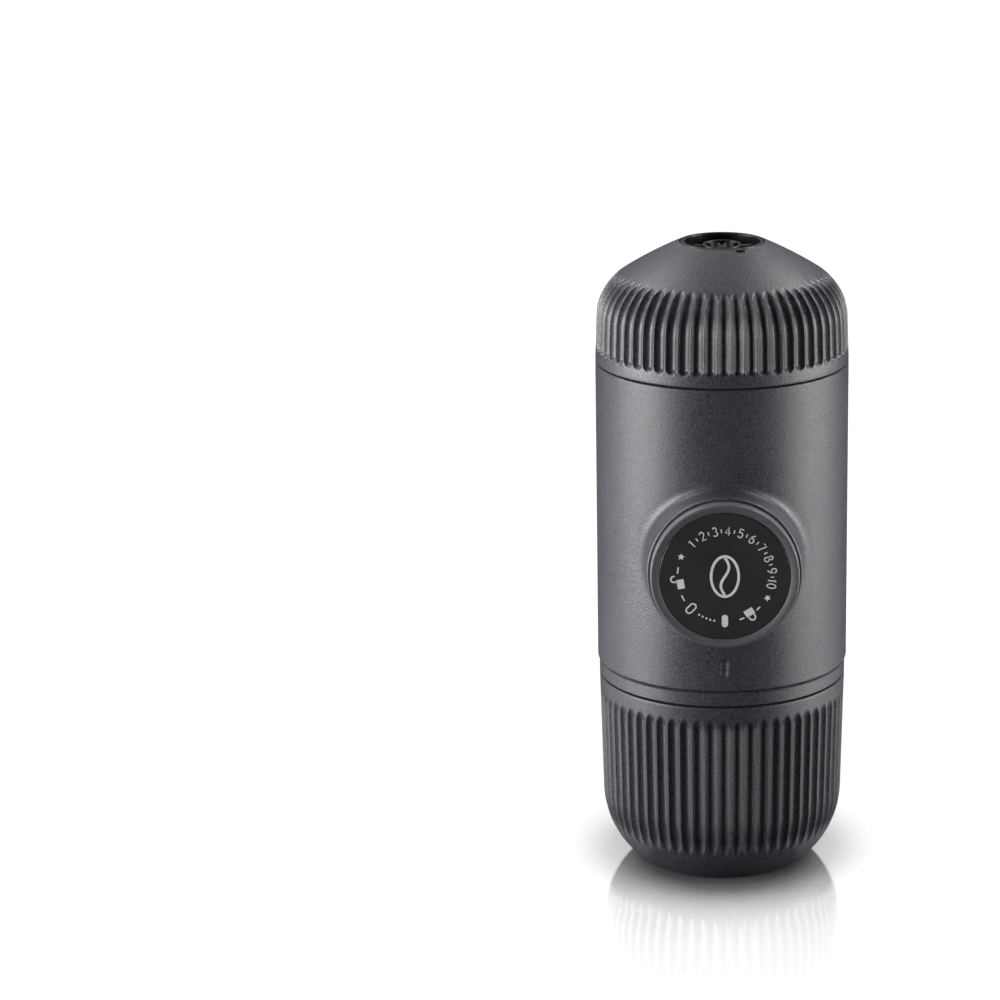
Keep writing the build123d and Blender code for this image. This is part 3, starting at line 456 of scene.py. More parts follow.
class Finish:
    """A procedural material: one Principled shader, with textures in the piece's own space."""

    def __init__(self, name, **sockets):
        self.material = bpy.data.materials.new(name)
        self.material.use_nodes = True
        self.nodes = self.material.node_tree.nodes
        self.shader = self.nodes["Principled BSDF"]
        self.place = self.node("TexCoord").outputs["Object"]
        self.set_sockets(self.shader, sockets)

    def set_sockets(self, node, values):
        for socket, value in values.items():
            node.inputs[socket.replace("_", " ")].default_value = value

    def node(self, kind, **values):
        """A new shader node, with the values of its sockets."""
        node = self.nodes.new("ShaderNode" + kind)
        self.set_sockets(node, values)
        return node

    def link(self, source, target):
        self.material.node_tree.links.new(source, target)

    def stretched(self, scale):
        """The texture space squeezed along its axes."""
        mapping = self.node("Mapping", Scale=scale)
        self.link(self.place, mapping.inputs["Vector"])
        return mapping.outputs["Vector"]

    def noise(self, size, detail=2.0, roughness=0.5, space=None):
        """Noise whose lumps are about size millimetres across."""
        node = self.node("TexNoise", Scale=1 / (size * MM), Detail=detail, Roughness=roughness)
        self.link(space or self.place, node.inputs["Vector"])
        return node.outputs["Fac"]

    def ranged(self, value, low, high):
        """A noise spread from its usual range to low..high."""
        usual_low, usual_high = NOISE_RANGE
        node = self.node("MapRange", From_Min=usual_low, From_Max=usual_high, To_Min=low, To_Max=high)
        self.link(value, node.inputs["Value"])
        return node.outputs["Result"]

    def combined(self, operation, a, b):
        """Two values, of which either may be a number, through a maths node."""
        node = self.node("Math")
        node.operation = operation
        for value, socket in zip((a, b), node.inputs):
            if isinstance(value, (int, float)):
                socket.default_value = value
            else:
                self.link(value, socket)
        return node.outputs["Value"]

    def colours(self, factor, low, high):
        """The base colour: a ramp from low to high over a noise's usual range."""
        ramp = self.node("ValToRGB")
        for stop, position, colour in zip(ramp.color_ramp.elements, NOISE_RANGE, (low, high)):
            stop.position = position
            stop.color = (*colour, 1)
        self.link(factor, ramp.inputs["Fac"])
        self.link(ramp.outputs["Color"], self.shader.inputs["Base Color"])

    def rough(self, value):
        self.link(value, self.shader.inputs["Roughness"])

    def bump(self, height, depth):
        """Relief of depth millimetres, on top of any relief that is already there."""
        node = self.node("Bump", Distance=depth * MM)
        self.link(height, node.inputs["Height"])
        normal = self.shader.inputs["Normal"]
        if normal.is_linked:
            self.link(normal.links[0].from_socket, node.inputs["Normal"])
        self.link(node.outputs["Normal"], normal)


def srgb(*levels):
    """Linear colour for 0..255 sRGB levels."""
    parts = (v / 255 for v in levels)
    return tuple(v / 12.92 if v <= 0.04045 else ((v + 0.055) / 1.055) ** 2.4 for v in parts)


def moulded(name, dark, light, roughness, grain_depth, grain_size=0.34):
    """Moulded plastic with a spark-eroded grain, faint flow mottling and uneven gloss."""
    finish = Finish(name)
    grain = finish.noise(grain_size, detail=0.0)
    lumps = finish.noise(grain_size * LUMP_SIZE, detail=1.0)
    flow = finish.noise(FLOW_SIZE, detail=3.0, roughness=0.6)
    specks = finish.ranged(finish.noise(grain_size * SPECK_SIZE, detail=0.0), -0.25, 0.25)
    finish.colours(finish.combined("ADD", specks, finish.ranged(flow, 0.45, 0.55)), dark, light)
    gloss = finish.ranged(grain, roughness - GRAIN_GLOSS, roughness + GRAIN_GLOSS)
    finish.rough(finish.combined("ADD", gloss, finish.ranged(flow, -FLOW_GLOSS, FLOW_GLOSS)))
    finish.bump(lumps, grain_depth * LUMP_DEPTH)
    finish.bump(grain, grain_depth)
    return finish.material


def clouded(name, dark, light, cloud, gloss, relief, depth, **sockets):
    """Colour and gloss that follow one cloud of that size, detail and roughness, and a fine relief."""
    finish = Finish(name, **sockets)
    bloom = finish.noise(*cloud)
    finish.colours(bloom, dark, light)
    finish.rough(finish.ranged(bloom, *gloss))
    finish.bump(finish.noise(relief), depth)
    return finish.material


def gloss_black():
    """Polished plastic: deep black, with the faintest orange peel and dust-fine dulling."""
    finish = Finish("gloss_black", Coat_Weight=0.25, Coat_Roughness=0.05)
    mottle = finish.noise(9.0, detail=4.0, roughness=0.65)
    dust = finish.noise(0.22, detail=1.0)
    finish.colours(mottle, srgb(39, 39, 42), srgb(46, 46, 50))
    finish.rough(finish.combined("ADD", finish.ranged(mottle, 0.16, 0.22), finish.ranged(dust, 0, 0.04)))
    finish.bump(finish.noise(2.6), 0.0015)
    return finish.material


def metal(name, dark, light, roughness, stretch):
    """Turned or drawn metal: fine lines one way, with cloudy polish marks."""
    finish = Finish(name, Metallic=1.0)
    lines = finish.noise(0.12, space=finish.stretched(stretch))
    cloud = finish.noise(5.0, detail=4.0, roughness=0.6)
    finish.colours(finish.combined("MULTIPLY", finish.combined("ADD", lines, cloud), 0.5), dark, light)
    finish.rough(finish.ranged(lines, roughness - 0.05, roughness + 0.07))
    finish.bump(lines, 0.0012)
    return finish.material


# -------- cup and tank


def cup_mesh():
    """The cup as one skin: base, bowl, fluted side, rim, and the inside back down to its floor."""
    _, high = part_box("drinking_cup")
    rim = (high.x / MM, high.z / MM)
    lean = (rim[0] - CUP_SHOULDER[0]) / (rim[1] - CUP_SHOULDER[1])
    down = (CUP_SHOULDER[0] - rim[0], CUP_SHOULDER[1] - rim[1])
    centre, radius, start, turn = tangent_arc(CUP_SHOULDER, down, (CUP_BASE_RADIUS, 0))
    base_angle = start + turn
    bowl_angle = base_angle + CUP_BASE_MARGIN
    flute_end = start - CUP_FLUTE_END_ANGLE

    def side(height):
        return (rim[0] - lean * (rim[1] - height), height)

    flute_top = side(rim[1] - CUP_FLUTE_TOP)
    fade_start = side(flute_top[1] - CUP_RUNOUTS[1])
    rim_centre = (rim[0] - CUP_RIM_ROUND, rim[1] - CUP_RIM_ROUND)
    base_centre = (CUP_BASE_RADIUS - CUP_BASE_TUCK, CUP_BASE_ROUND)
    under = [(0, 0), (CUP_FLAT_RINGS[0], 0), (base_centre[0] - CUP_FLAT_MARGINS[0], 0)]
    below = under + arc(base_centre, CUP_BASE_ROUND, -90, 90 + base_angle, step=0.12)
    below += arc(centre, radius, bowl_angle, flute_end - bowl_angle, step=0.8)
    fluted = arc(centre, radius, flute_end, start - flute_end, step=0.35)
    fluted += straight(CUP_SHOULDER, fade_start, step=1.6) + straight(fade_start, flute_top, step=0.25)
    above = straight(flute_top, side(rim_centre[1]), step=0.7)
    above += arc(rim_centre, CUP_RIM_ROUND, 0, 90, step=0.09)
    outside = below + fluted + above
    cuts = flute_cuts(outside, len(below), len(below + fluted), CUP_RUNOUTS, soft=(True, False))

    lip = (rim[0] - CUP_WALL + CUP_RIM_ROUND, rim_centre[1])
    inner_bowl = inside(arc(centre, radius, base_angle, start - base_angle, step=1.6), CUP_WALL)
    inner = [(rim_centre[0], rim[1])] + arc(lip, CUP_RIM_ROUND, 90, 90, step=0.09)
    inner += straight((rim[0] - CUP_WALL, lip[1]), inner_bowl[0], step=4.0) + inner_bowl
    floor_rings = (inner_bowl[-1][0] - CUP_FLAT_MARGINS[1], CUP_FLAT_RINGS[1], 0)
    inner += [(ring, CUP_WALL) for ring in floor_rings]
    columns = [COARSE_COLUMNS] * len(under) + [FINE_COLUMNS] * (len(outside) - len(under) + 1)
    columns += [COARSE_COLUMNS] * (len(inner) - 1)
    return skin(turned(outside + inner, columns, cuts + [None] * len(inner)))


def tank_mesh():
    """The tank as one closed skin: lower edge, fluted side and shoulder, dome, vent recess, inside."""
    low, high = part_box("water_tank")
    bottom, top, body = low.z / MM, high.z / MM, high.y / MM
    shoulder = (body - TANK_TAPER, bottom + TANK_SIDE_HEIGHT)
    lean = math.degrees(math.atan2(TANK_TAPER, TANK_SIDE_HEIGHT))
    ways = [np.array((math.cos(a), math.sin(a))) for a in np.radians((lean, TANK_SHOULDER_ANGLE))]
    shoulder_centre = shoulder - TANK_SHOULDER_RADIUS * ways[0]
    shoulder_arc = (shoulder_centre, TANK_SHOULDER_RADIUS, lean, TANK_SHOULDER_ANGLE - lean)
    dome_start = shoulder_centre + TANK_SHOULDER_RADIUS * ways[1]
    heading = (-ways[1][1], ways[1][0])
    *dome, dome_angle, dome_turn = tangent_arc(dome_start, heading, (TANK_TOP_RADIUS, top))

    def side(height):
        return (body - TANK_TAPER * (height - bottom) / TANK_SIDE_HEIGHT, height)

    flute_low = side(bottom + TANK_FLUTE_BOTTOM)
    fade_end = side(flute_low[1] + TANK_RUNOUTS[0])
    edge_centre = (body - TANK_EDGE_ROUND, bottom + TANK_EDGE_ROUND)
    below = arc(edge_centre, TANK_EDGE_ROUND, -90, 90, step=0.09)
    below += straight((body, edge_centre[1]), flute_low, step=0.7)
    over = math.copysign(math.degrees(TANK_FLUTE_REACH / dome[1]), dome_turn)
    fluted = straight(flute_low, fade_end, step=0.25) + straight(fade_end, shoulder, step=1.0)
    fluted += arc(*shoulder_arc, step=0.3) + arc(*dome, dome_angle, over, step=0.3)
    outside = below + fluted + arc(*dome, dome_angle + over, dome_turn - over, step=0.9)
    cuts = flute_cuts(outside, len(below), len(below + fluted), TANK_RUNOUTS, soft=(False, True))

    recess_floor = top - VENT_RECESS_DEPTH
    under_floor = recess_floor - VENT_FLOOR
    inner = [
        (TANK_TOP_RADIUS + VENT_LIP[0], top - VENT_LIP[1]),
        (TANK_TOP_RADIUS - VENT_LIP_EDGE, top),
        (VENT_RECESS_RADIUS + VENT_LIP_EDGE, top),
        (VENT_RECESS_RADIUS, top - VENT_LIP_EDGE),
        (VENT_RECESS_RADIUS, recess_floor),
        (VENT_HOLE_RADIUS, recess_floor),
        (VENT_HOLE_RADIUS, under_floor),
        (VENT_BOSS_RADIUS, under_floor),
    ]
    curve = arc(*shoulder_arc, step=1.4) + arc(*dome, dome_angle, dome_turn, step=1.8)
    ceiling = [p for p in inside(curve, TANK_WALL) if p[0] > VENT_BOSS_RADIUS]
    inner += [(VENT_BOSS_RADIUS, ceiling[0][1])] + ceiling
    inner_foot = (body - TANK_WALL, bottom)
    inner += straight(ceiling[-1], inner_foot, step=4.0)[1:] + [inner_foot]
    columns = [FINE_COLUMNS] * (len(outside) + 1) + [COARSE_COLUMNS] * (len(inner) - 1)
    rings = turned(outside + inner, columns, cuts + [None] * len(inner))
    return skin(rings, closed=True)


# -------- shell


def on_shell(radius, turn, height):
    """Points at a radius about Z, turned from the front by so many radians."""
    radius, turn, height = np.broadcast_arrays(radius, turn, height)
    return np.stack((radius * np.sin(turn), -radius * np.cos(turn), height), axis=1)


def boss_rings(radius, front, centre, spokes, frame_turns, frame_heights, guide_end):
    """Rings about the knob's axis: frame, flare, boss, bore, guide, and the frame on the inner wall."""
    c, s = np.cos(spokes), np.sin(spokes)

    def on_wall(reach):
        """(across, up, towards the front) points of the barrel, at a distance from the knob's axis."""
        return np.column_stack((reach * c, reach * s, np.sqrt(radius**2 - (reach * c) ** 2)))

    def laid(points):
        """(across, up, towards the front) points in the model's axes."""
        return np.column_stack((points[:, 0], -points[:, 2], centre + points[:, 1]))

    def circle(reach, forward):
        return laid(np.column_stack((reach * c, reach * s, np.broadcast_to(forward, c.shape))))

    foot, corner = on_wall(BOSS_RADIUS + BOSS_FLARE), on_wall(BOSS_RADIUS)
    side = np.column_stack((corner[:, :2], np.full(len(c), front - BOSS_EDGE)))
    rings = []
    foot_turn = np.arctan2(foot[:, 0], foot[:, 2])
    for t in np.linspace(0, 1, FRAME_RINGS, endpoint=False):
        turn = frame_turns + (foot_turn - frame_turns) * t
        up = frame_heights + (foot[:, 1] - frame_heights) * t
        rings.append(on_shell(radius, turn, centre + up))
    for t in np.linspace(0, 1, FLARE_RINGS, endpoint=False):
        rings.append(laid((1 - t) ** 3 * foot + 3 * t * (1 - t) * corner + t**3 * side))
    edge = front - GUIDE_EDGE
    profile = arc((BOSS_RADIUS - BOSS_EDGE, front - BOSS_EDGE), BOSS_EDGE, 0, 90, step=0.12)
    profile += arc((GUIDE_BORE + GUIDE_EDGE, edge), GUIDE_EDGE, 90, 90, step=0.06)
    profile += [(GUIDE_BORE, edge), (GUIDE_BORE, front - GUIDE_LIP), (GUIDE_GROOVE, front - GUIDE_LIP)]
    profile += [(GUIDE_GROOVE, guide_end), (GUIDE_OUTER, guide_end)]
    rings += [circle(reach, forward) for reach, forward in profile]
    inner_depth = np.sqrt(SHELL_INNER**2 - (GUIDE_OUTER * c) ** 2)
    rings.append(circle(GUIDE_OUTER, inner_depth))
    inner_turn = np.arctan2(GUIDE_OUTER * c, inner_depth)
    for t in (0.5, 1.0):
        turn = inner_turn + (frame_turns - inner_turn) * t
        up = GUIDE_OUTER * s + (frame_heights - GUIDE_OUTER * s) * t
        rings.append(on_shell(SHELL_INNER, turn, centre + up))
    return rings


def mark_depth(across, up):
    """Depth of the index mark, a slot with sloping sides, at a place measured from its middle."""
    width, length, depth = MARK_SIZE
    past = np.maximum(np.abs(up) - (length - width) / 2, 0)
    inside_edge = np.clip((width / 2 - np.hypot(across, past)) / MARK_SLOPE, 0, 1)
    return depth * inside_edge**2 * (3 - 2 * inside_edge)


def shell_mesh(knob):
    """The barrel as one closed skin: outside with boss and index mark, bore, guide tube, and inside."""
    low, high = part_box("outer_shell")
    radius, bottom, top = high.y / MM, low.z / MM, high.z / MM
    centre = knob["height"]
    spread, step = FINE_SPOKES
    fine = [np.arange(way - spread, way + spread + step / 4, step) for way in (90, 270)]
    spokes = np.radians(np.unique(np.concatenate((np.arange(0, 360, SPOKE_STEP), *fine)).round(6)))
    c, s = np.cos(spokes), np.sin(spokes)
    reach = np.maximum(np.abs(c), np.abs(s))
    frame_turns = (math.radians(FRAME_TURN) * c / reach).round(9)
    frame_heights = (FRAME_HEIGHT * s / reach).round(9)
    guide_end = -knob["skirt_end"] - GUIDE_TAIL
    rings = boss_rings(radius, -low.y / MM, centre, spokes, frame_turns, frame_heights, guide_end)
    parts = [skin(rings)]

    front_turns = np.unique(frame_turns)
    back_turns = np.linspace(front_turns[-1], FULL_TURN + front_turns[0], BACK_COLUMNS)
    all_turns = np.concatenate((front_turns, back_turns[1:-1]))
    levels = centre + np.unique(frame_heights)
    for wall in (radius, SHELL_INNER):
        parts.append(sheet([on_shell(wall, back_turns, level) for level in levels]))

    bore, low_depth, high_depth = SHELL_END_BORE
    round_off, chamfer = SHELL_END_ROUND, SHELL_END_CHAMFER
    mark_middle = bottom + MARK_HEIGHT
    for end, way, depth, level in ((bottom, 1, low_depth, levels[0]), (top, -1, high_depth, levels[-1])):
        ledge = end + way * depth
        outline = [(SHELL_INNER, level), (SHELL_INNER, ledge), (bore, ledge)]
        outline += [(bore, end + way * chamfer), (bore + chamfer, end)]
        corner = (radius - round_off, end + way * round_off)
        outline += bow(corner, round_off, -way * round_off, 90, 0, 6)
        outline += straight((radius, corner[1]), (radius, level), step=0.2)[1:]
        outline.append((radius, level))
        rings = []
        for reach, height in outline:
            cut = mark_depth(all_turns * radius, height - mark_middle) if reach == radius else 0.0
            rings.append(on_shell(reach - cut, all_turns, height))
        parts.append(skin(rings))
    return parts


# -------- knob


def knob_mesh(knob):
    """The knob turned about its axis: bezel, skirt with lugs, plate, and the hub for the rod."""
    face, end, radius = knob["face"], knob["skirt_end"], knob["radius"]
    plate_front = face + KNOB_PLATE_DEPTH
    plate_back = plate_front + KNOB_PLATE
    hub_end = plate_back + KNOB_HUB_LENGTH
    pocket = plate_back + KNOB_POCKET_DEPTH
    crest = (radius - KNOB_CREST, face + KNOB_CREST)
    slope_angle = math.degrees(math.atan2(BEZEL_DROP, crest[0] - BEZEL_INNER_RADIUS))
    bezel_edge = (BEZEL_INNER_RADIUS + BEZEL_INNER_ROUND, face + BEZEL_DROP + BEZEL_INNER_ROUND)
    lug_start = end - LUG_LENGTH
    outline = [(KNOB_BORE, pocket), (KNOB_POCKET_RADIUS, pocket), (KNOB_POCKET_RADIUS, plate_front)]
    outline += [(BEZEL_INNER_RADIUS, plate_front)]
    outline += arc(bezel_edge, BEZEL_INNER_ROUND, 180, 90 - slope_angle, step=0.05)
    outline += arc(crest, KNOB_CREST, -90 - slope_angle, 90 + slope_angle, step=0.06)
    outline += straight((radius, crest[1]), (radius, lug_start), step=3.0)
    lug_first = len(outline) + 1
    outline += [(radius, lug_start), (radius, lug_start + LUG_RISE), (radius, end)]
    outline += [(radius - KNOB_WALL, end), (radius - KNOB_WALL, plate_back)]
    outline += [(KNOB_HUB_RADIUS, plate_back), (KNOB_HUB_RADIUS, hub_end), (KNOB_BORE, hub_end)]
    angles = -np.degrees(np.arange(KNOB_COLUMNS) * FULL_TURN / KNOB_COLUMNS)
    lug = np.zeros(KNOB_COLUMNS)
    for middle in LUG_ANGLES:
        away = np.abs((angles - middle + 180) % 360 - 180)
        lug[away <= LUG_HALF_ANGLE] = LUG_HEIGHT
    rings = turned(outline, KNOB_COLUMNS)
    for i in (lug_first, lug_first + 1):
        stretch = (outline[i][0] + lug) / outline[i][0]
        rings[i][:, :2] = rings[i][:, :2] * stretch[:, None]
    points, faces = skin(rings, closed=True)
    # laid round the knob's own axis: what was height is now depth behind the front
    return np.stack((points[:, 0], points[:, 2], knob["height"] - points[:, 1]), axis=1), faces


def stroke(path, width, closed=False):
    """A flat line of that width along (x, up) points."""
    path = np.column_stack((path, np.zeros(len(path))))
    half, thick = width / 2, PRINT_THICKNESS
    return swept(path, [(-half, 0.0), (-half, thick), (half, thick), (half, 0.0)], closed)


def filled(outline):
    """A flat plate inside a closed outline of (x, up) points, anticlockwise."""
    outline = np.asarray(outline, float)
    count = len(outline)
    low = np.column_stack((outline, np.zeros(count)))
    high = np.column_stack((outline, np.full(count, PRINT_THICKNESS)))
    return capped([low, high])


def capsule_line(length, width):
    """Closed outline of an upright capsule."""
    radius = width / 2
    top = np.array(bow((0, length / 2 - radius), radius, radius, 0, 180, 13))
    return np.concatenate((top, -top))


def star(tips, waist):
    """A five-pointed star, from the radii of its tips and of the corners between them."""
    angles = np.radians(90 + 36 * np.arange(10))
    reach = np.where(np.arange(10) % 2, waist, tips)
    return filled(np.column_stack((reach * np.cos(angles), reach * np.sin(angles))))


def oval(centre, across, up):
    """Points once round an ellipse."""
    return bow(centre, across, up, 0, 345, 24)


def padlock(is_open):
    """A small padlock sign: a filled body, and a shackle that is shut or swung clear."""
    (half, foot, top), (across, up) = LOCK_BODY, LOCK_SHACKLE
    body = [(-half, foot), (half, foot), (half, top), (-half, top)]
    shift, leg = LOCK_SWING if is_open else (0.0, LOCK_LEG)
    shackle = bow((shift, up), across, up, 0, 180, 13)
    path = [(shift + across, leg), *shackle, (shift - across, LOCK_LEG)]
    return merged([filled(body), stroke(path, PRINT_LINE)])


def digit(number):
    """A plain digit as flat lines, 2.1 mm tall, its middle at the origin."""
    open_lines, loops = {
        0: ([], [oval((0, 0), 0.52, 1.05)]),
        1: ([[(-0.38, 0.62), (0.06, 1.05), (0.06, -1.05)]], []),
        2: ([bow((0, 0.47), 0.5, 0.58, 165, -30) + [(-0.5, -1.03), (0.58, -1.03)]], []),
        3: ([bow((-0.02, 0.53), 0.46, 0.52, 150, -85), bow((0, -0.5), 0.53, 0.55, 88, -150)], []),
        4: ([[(0.62, -0.5), (-0.58, -0.5), (0.22, 1.05), (0.22, -1.05)]], []),
        5: ([[(0.46, 1.03), (-0.38, 1.03), (-0.44, 0.12)] + bow((0, -0.4), 0.53, 0.65, 125, -150)], []),
        6: ([bow((0.5, -0.4), 1.02, 1.45, 180, 105)], [oval((0, -0.45), 0.52, 0.6)]),
        7: ([[(-0.52, 1.03), (0.5, 1.03), (-0.16, -1.05)]], []),
        8: ([], [oval((0, 0.55), 0.42, 0.5), oval((0, -0.5), 0.53, 0.55)]),
        9: ([bow((-0.5, 0.4), 1.02, 1.45, 0, -75)], [oval((0, 0.45), 0.52, 0.6)]),
    }[number]
    parts = [stroke(line, DIGIT_LINE) for line in open_lines]
    return merged(parts + [stroke(loop, DIGIT_LINE, closed=True) for loop in loops])


def bean():
    """A coffee bean in outline: an ellipse and its curved crease."""
    shell = bow((0, 0), *BEAN_SIZE, 0, 355, 72)
    swing, half = BEAN_CREASE
    ups = np.linspace(-half, half, 41)
    crease = np.column_stack((swing * np.sin(ups / half * math.pi), ups))
    return merged([stroke(shell, BEAN_LINE, closed=True), stroke(crease, BEAN_LINE)])


def side_bars(middle, near, far):
    """Two thin arcs, one each side of a sign."""
    bars = []
    for side in (-1, 1):
        line = bow((0, 0), PRINT_RADIUS, PRINT_RADIUS, middle + side * near, middle + side * far, 9)
        bars.append(stroke(line, BAR_LINE))
    return bars


def dial_marks(knob):
    """The white print on the dial: turning marks, signs for shut and open, plain numbers, and a bean."""
    marks = [bean(), placed(filled(capsule_line(*POINTER_SIZE)), POINTER_RADIUS, POINTER_ANGLE)]
    hollow = stroke(capsule_line(*HOLLOW_SIZE), PRINT_LINE, closed=True)
    marks.append(placed(hollow, PRINT_RADIUS, HOLLOW_ANGLE))
    dot = filled(bow((0, 0), DOT_RADIUS, DOT_RADIUS, 0, 342, 20))
    marks += [placed(dot, PRINT_RADIUS, angle) for angle in DOT_ANGLES]
    marks += [placed(star(*STAR_SIZE), STAR_RADIUS, angle) for angle in STAR_ANGLES]
    for is_open, angle, bars in LOCK_MARKS:
        marks += [placed(padlock(is_open), PRINT_RADIUS, angle)] + side_bars(angle, *bars)
    first, last = NUMBER_ARC
    pitch = (last - first) / (NUMBER_COUNT - 1)
    tick_length, tick_width = TICK_SIZE
    tick = stroke([(0, -tick_length / 2), (0, tick_length / 2)], tick_width)
    for i in range(NUMBER_COUNT):
        angle = first + pitch * i
        figures = str(i + 1)
        for j, figure in enumerate(figures):
            across = (2 * j - len(figures) + 1) * DIGIT_SHIFT
            marks.append(placed(digit(int(figure)), PRINT_RADIUS, angle, across))
        if i + 1 < NUMBER_COUNT:
            marks.append(placed(tick, PRINT_RADIUS, angle + pitch / 2))
    points, faces = merged(marks)
    front = knob["dial_face"]
    laid = np.stack((points[:, 0], front - points[:, 2], knob["height"] + points[:, 1]), axis=1)
    return laid, faces


# -------- vent insert


def rounded_bar(width, height, rounding):
    """Section of a bar that stands on its foot, with its two upper edges rounded."""
    inner, level = width / 2 - rounding, height - rounding
    left = bow((-inner, level), rounding, rounding, 180, 90, 5)
    right = bow((inner, level), rounding, rounding, 90, 0, 5)
    return [(-width / 2, 0.0), *left, *right, (width / 2, 0.0)]


def vent_mesh():
    """Rubber insert in the tank's top: lipped ring, spoked hub with petals, and a finger tab."""
    low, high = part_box("vent_plug")
    floor, top = low.z / MM + VENT_PLAY[1], high.z / MM
    recess = VENT_RECESS_RADIUS - VENT_PLAY[0]
    ring_inner = recess - VENT_RING_WIDTH
    ring_round = VENT_RING_ROUND
    outline = [(ring_inner, floor), (recess, floor)]
    outline += arc((recess - ring_round, top - ring_round), ring_round, 0, 90, step=0.09)
    outline += arc((ring_inner + ring_round, top - ring_round), ring_round, 90, 90, step=0.09)
    outline += [(ring_inner, top - ring_round)]
    parts = [skin(turned(outline, 192), closed=True)]

    web = floor + VENT_WEB
    half_wall = VENT_HUB_WALL / 2
    hub_inner = VENT_HUB_RADIUS - VENT_HUB_WALL
    wall_top = (VENT_HUB_RADIUS - half_wall, top - VENT_HUB_DROP - half_wall)
    button_top, button_round, button_foot = VENT_BUTTON
    hub = [(0, floor), (VENT_HUB_RADIUS, floor)] + arc(wall_top, half_wall, 0, 180, step=0.12)
    hub += [(hub_inner, web + VENT_HUB_CHAMFER), (hub_inner - VENT_HUB_CHAMFER, web)]
    hub += [(button_top + button_round + button_foot, web)]
    hub += arc((button_top, web), button_round, 0, 90, step=0.15) + [(0, web + button_round)]
    parts.append(skin(turned(hub, 96)))

    ring = np.radians(np.arange(0, 360, 15))
    for middle in np.radians(PETAL_ANGLES):
        x = PETAL_PLACE * math.cos(middle) + PETAL_RADIUS * np.cos(ring)
        y = PETAL_PLACE * math.sin(middle) + PETAL_RADIUS * np.sin(ring)
        petal = np.column_stack((x, y, np.full(len(ring), web - VENT_SINK)))
        parts.append(swept(petal, rounded_bar(*PETAL_BAR), closed=True))
    for angle in np.radians(SPOKE_ANGLES):
        reaches = (*SPOKE_PLACES, ring_inner + ring_round)
        ray = [(r * math.cos(angle), r * math.sin(angle), floor) for r in reaches]
        parts.append(swept(ray, rounded_bar(*SPOKE_BAR)))

    length, across, thickness = TAB_SIZE
    chamfer, rounding, half_way = TAB_EDGES
    insets = (chamfer, 0.0, 0.0, half_way, rounding)
    heights = (0.0, chamfer, thickness - rounding, thickness - half_way, thickness)
    rings = []
    for inset, up in zip(insets, heights):
        line = capsule_line(length - 2 * inset, across - 2 * inset)
        rings.append(np.column_stack((line[:, 1], -line[:, 0], np.full(len(line), top - thickness + up))))
    parts.append(placed(capped(rings), -recess - VENT_SINK, TAB_ANGLE + 180))
    return parts


# -------- stage, lamps and camera


def stage_mesh(name, points, faces, material):
    mesh = bpy.data.meshes.new(name)
    mesh.from_pydata(points, [], faces)
    mesh.materials.append(material)
    cloth = added(name, mesh)
    return cloth


def background_rays(tree):
    """1 for the rays that see the white background: camera, glossy and transmission rays."""
    path = tree.nodes.new("ShaderNodeLightPath")
    seen = path.outputs["Is Camera Ray"]
    for kind in ("Is Glossy Ray", "Is Transmission Ray"):
        either = tree.nodes.new("ShaderNodeMath")
        either.operation = "MAXIMUM"
        tree.links.new(seen, either.inputs[0])
        tree.links.new(path.outputs[kind], either.inputs[1])
        seen = either.outputs["Value"]
    return seen


def floor_material():
    """White glossy sweep, with painted shade round the object's foot and the object's faint mirror image.
    """
    finish = Finish("studio_floor", Roughness=0.14, IOR=1.5)
    finish.colours(finish.noise(400.0), (0.08, 0.08, 0.08), (0.10, 0.10, 0.10))
    # painted shade: ambient occlusion near the object dims the floor's glow, as a painted contact shadow
    openness = finish.node("AmbientOcclusion", Distance=FLOOR_PAINTED_SHADE_REACH)
    openness.samples = 16
    ramp = finish.node("ValToRGB")
    stops = ramp.color_ramp.elements
    for position, white in FLOOR_PAINTED_SHADE:
        stops.new(position).color = (white, white, white, 1)
    stops.remove(stops[0])
    stops.remove(stops[len(stops) - 1])
    finish.link(openness.outputs["AO"], ramp.inputs["Fac"])
    finish.link(ramp.outputs["Color"], finish.shader.inputs["Emission Color"])
    finish.link(background_rays(finish.material.node_tree), finish.shader.inputs["Emission Strength"])
    polish = finish.node("BsdfGlossy", Roughness=0.1)
    mirrored = finish.combined("MULTIPLY", finish.node("LightPath").outputs["Is Camera Ray"], FLOOR_GLOSS)
    finish.link(mirrored, polish.inputs["Color"])
    both = finish.node("AddShader")
    finish.link(finish.shader.outputs["BSDF"], both.inputs[0])
    finish.link(polish.outputs["BSDF"], both.inputs[1])
    finish.link(both.outputs["Shader"], finish.nodes["Material Output"].inputs["Surface"])
    return finish.material


def flag_material():
    """Black cloth that keeps the object's middle dark. Its back lets the floor's mirror image through."""
    finish = Finish("black_flag", Roughness=0.95)
    finish.colours(finish.noise(6.0), (0.01, 0.01, 0.01), (0.016, 0.016, 0.016))
    mix = finish.node("MixShader")
    finish.link(finish.node("NewGeometry").outputs["Backfacing"], mix.inputs["Fac"])
    finish.link(finish.shader.outputs["BSDF"], mix.inputs[1])
    finish.link(finish.node("BsdfTransparent").outputs["BSDF"], mix.inputs[2])
    finish.link(mix.outputs["Shader"], finish.nodes["Material Output"].inputs["Surface"])
    return finish.material


def softbox(name, bearing, elevation, width, height, power):
    """A rectangular lamp that looks at the object."""
    lamp = bpy.data.lights.new(name, "AREA")
    lamp.shape = "RECTANGLE"
    lamp.size, lamp.size_y, lamp.energy = width, height, power
    holder = added(name, lamp)
    around, up = math.radians(bearing), math.radians(elevation)
    reach, lift = SOFTBOX_DISTANCE * math.cos(up), SOFTBOX_DISTANCE * math.sin(up)
    holder.location = (reach * math.sin(around), -reach * math.cos(around), SOFTBOX_AIM + lift)
    holder.rotation_euler = (math.pi / 2 - up, 0, around)
    holder.visible_camera = False


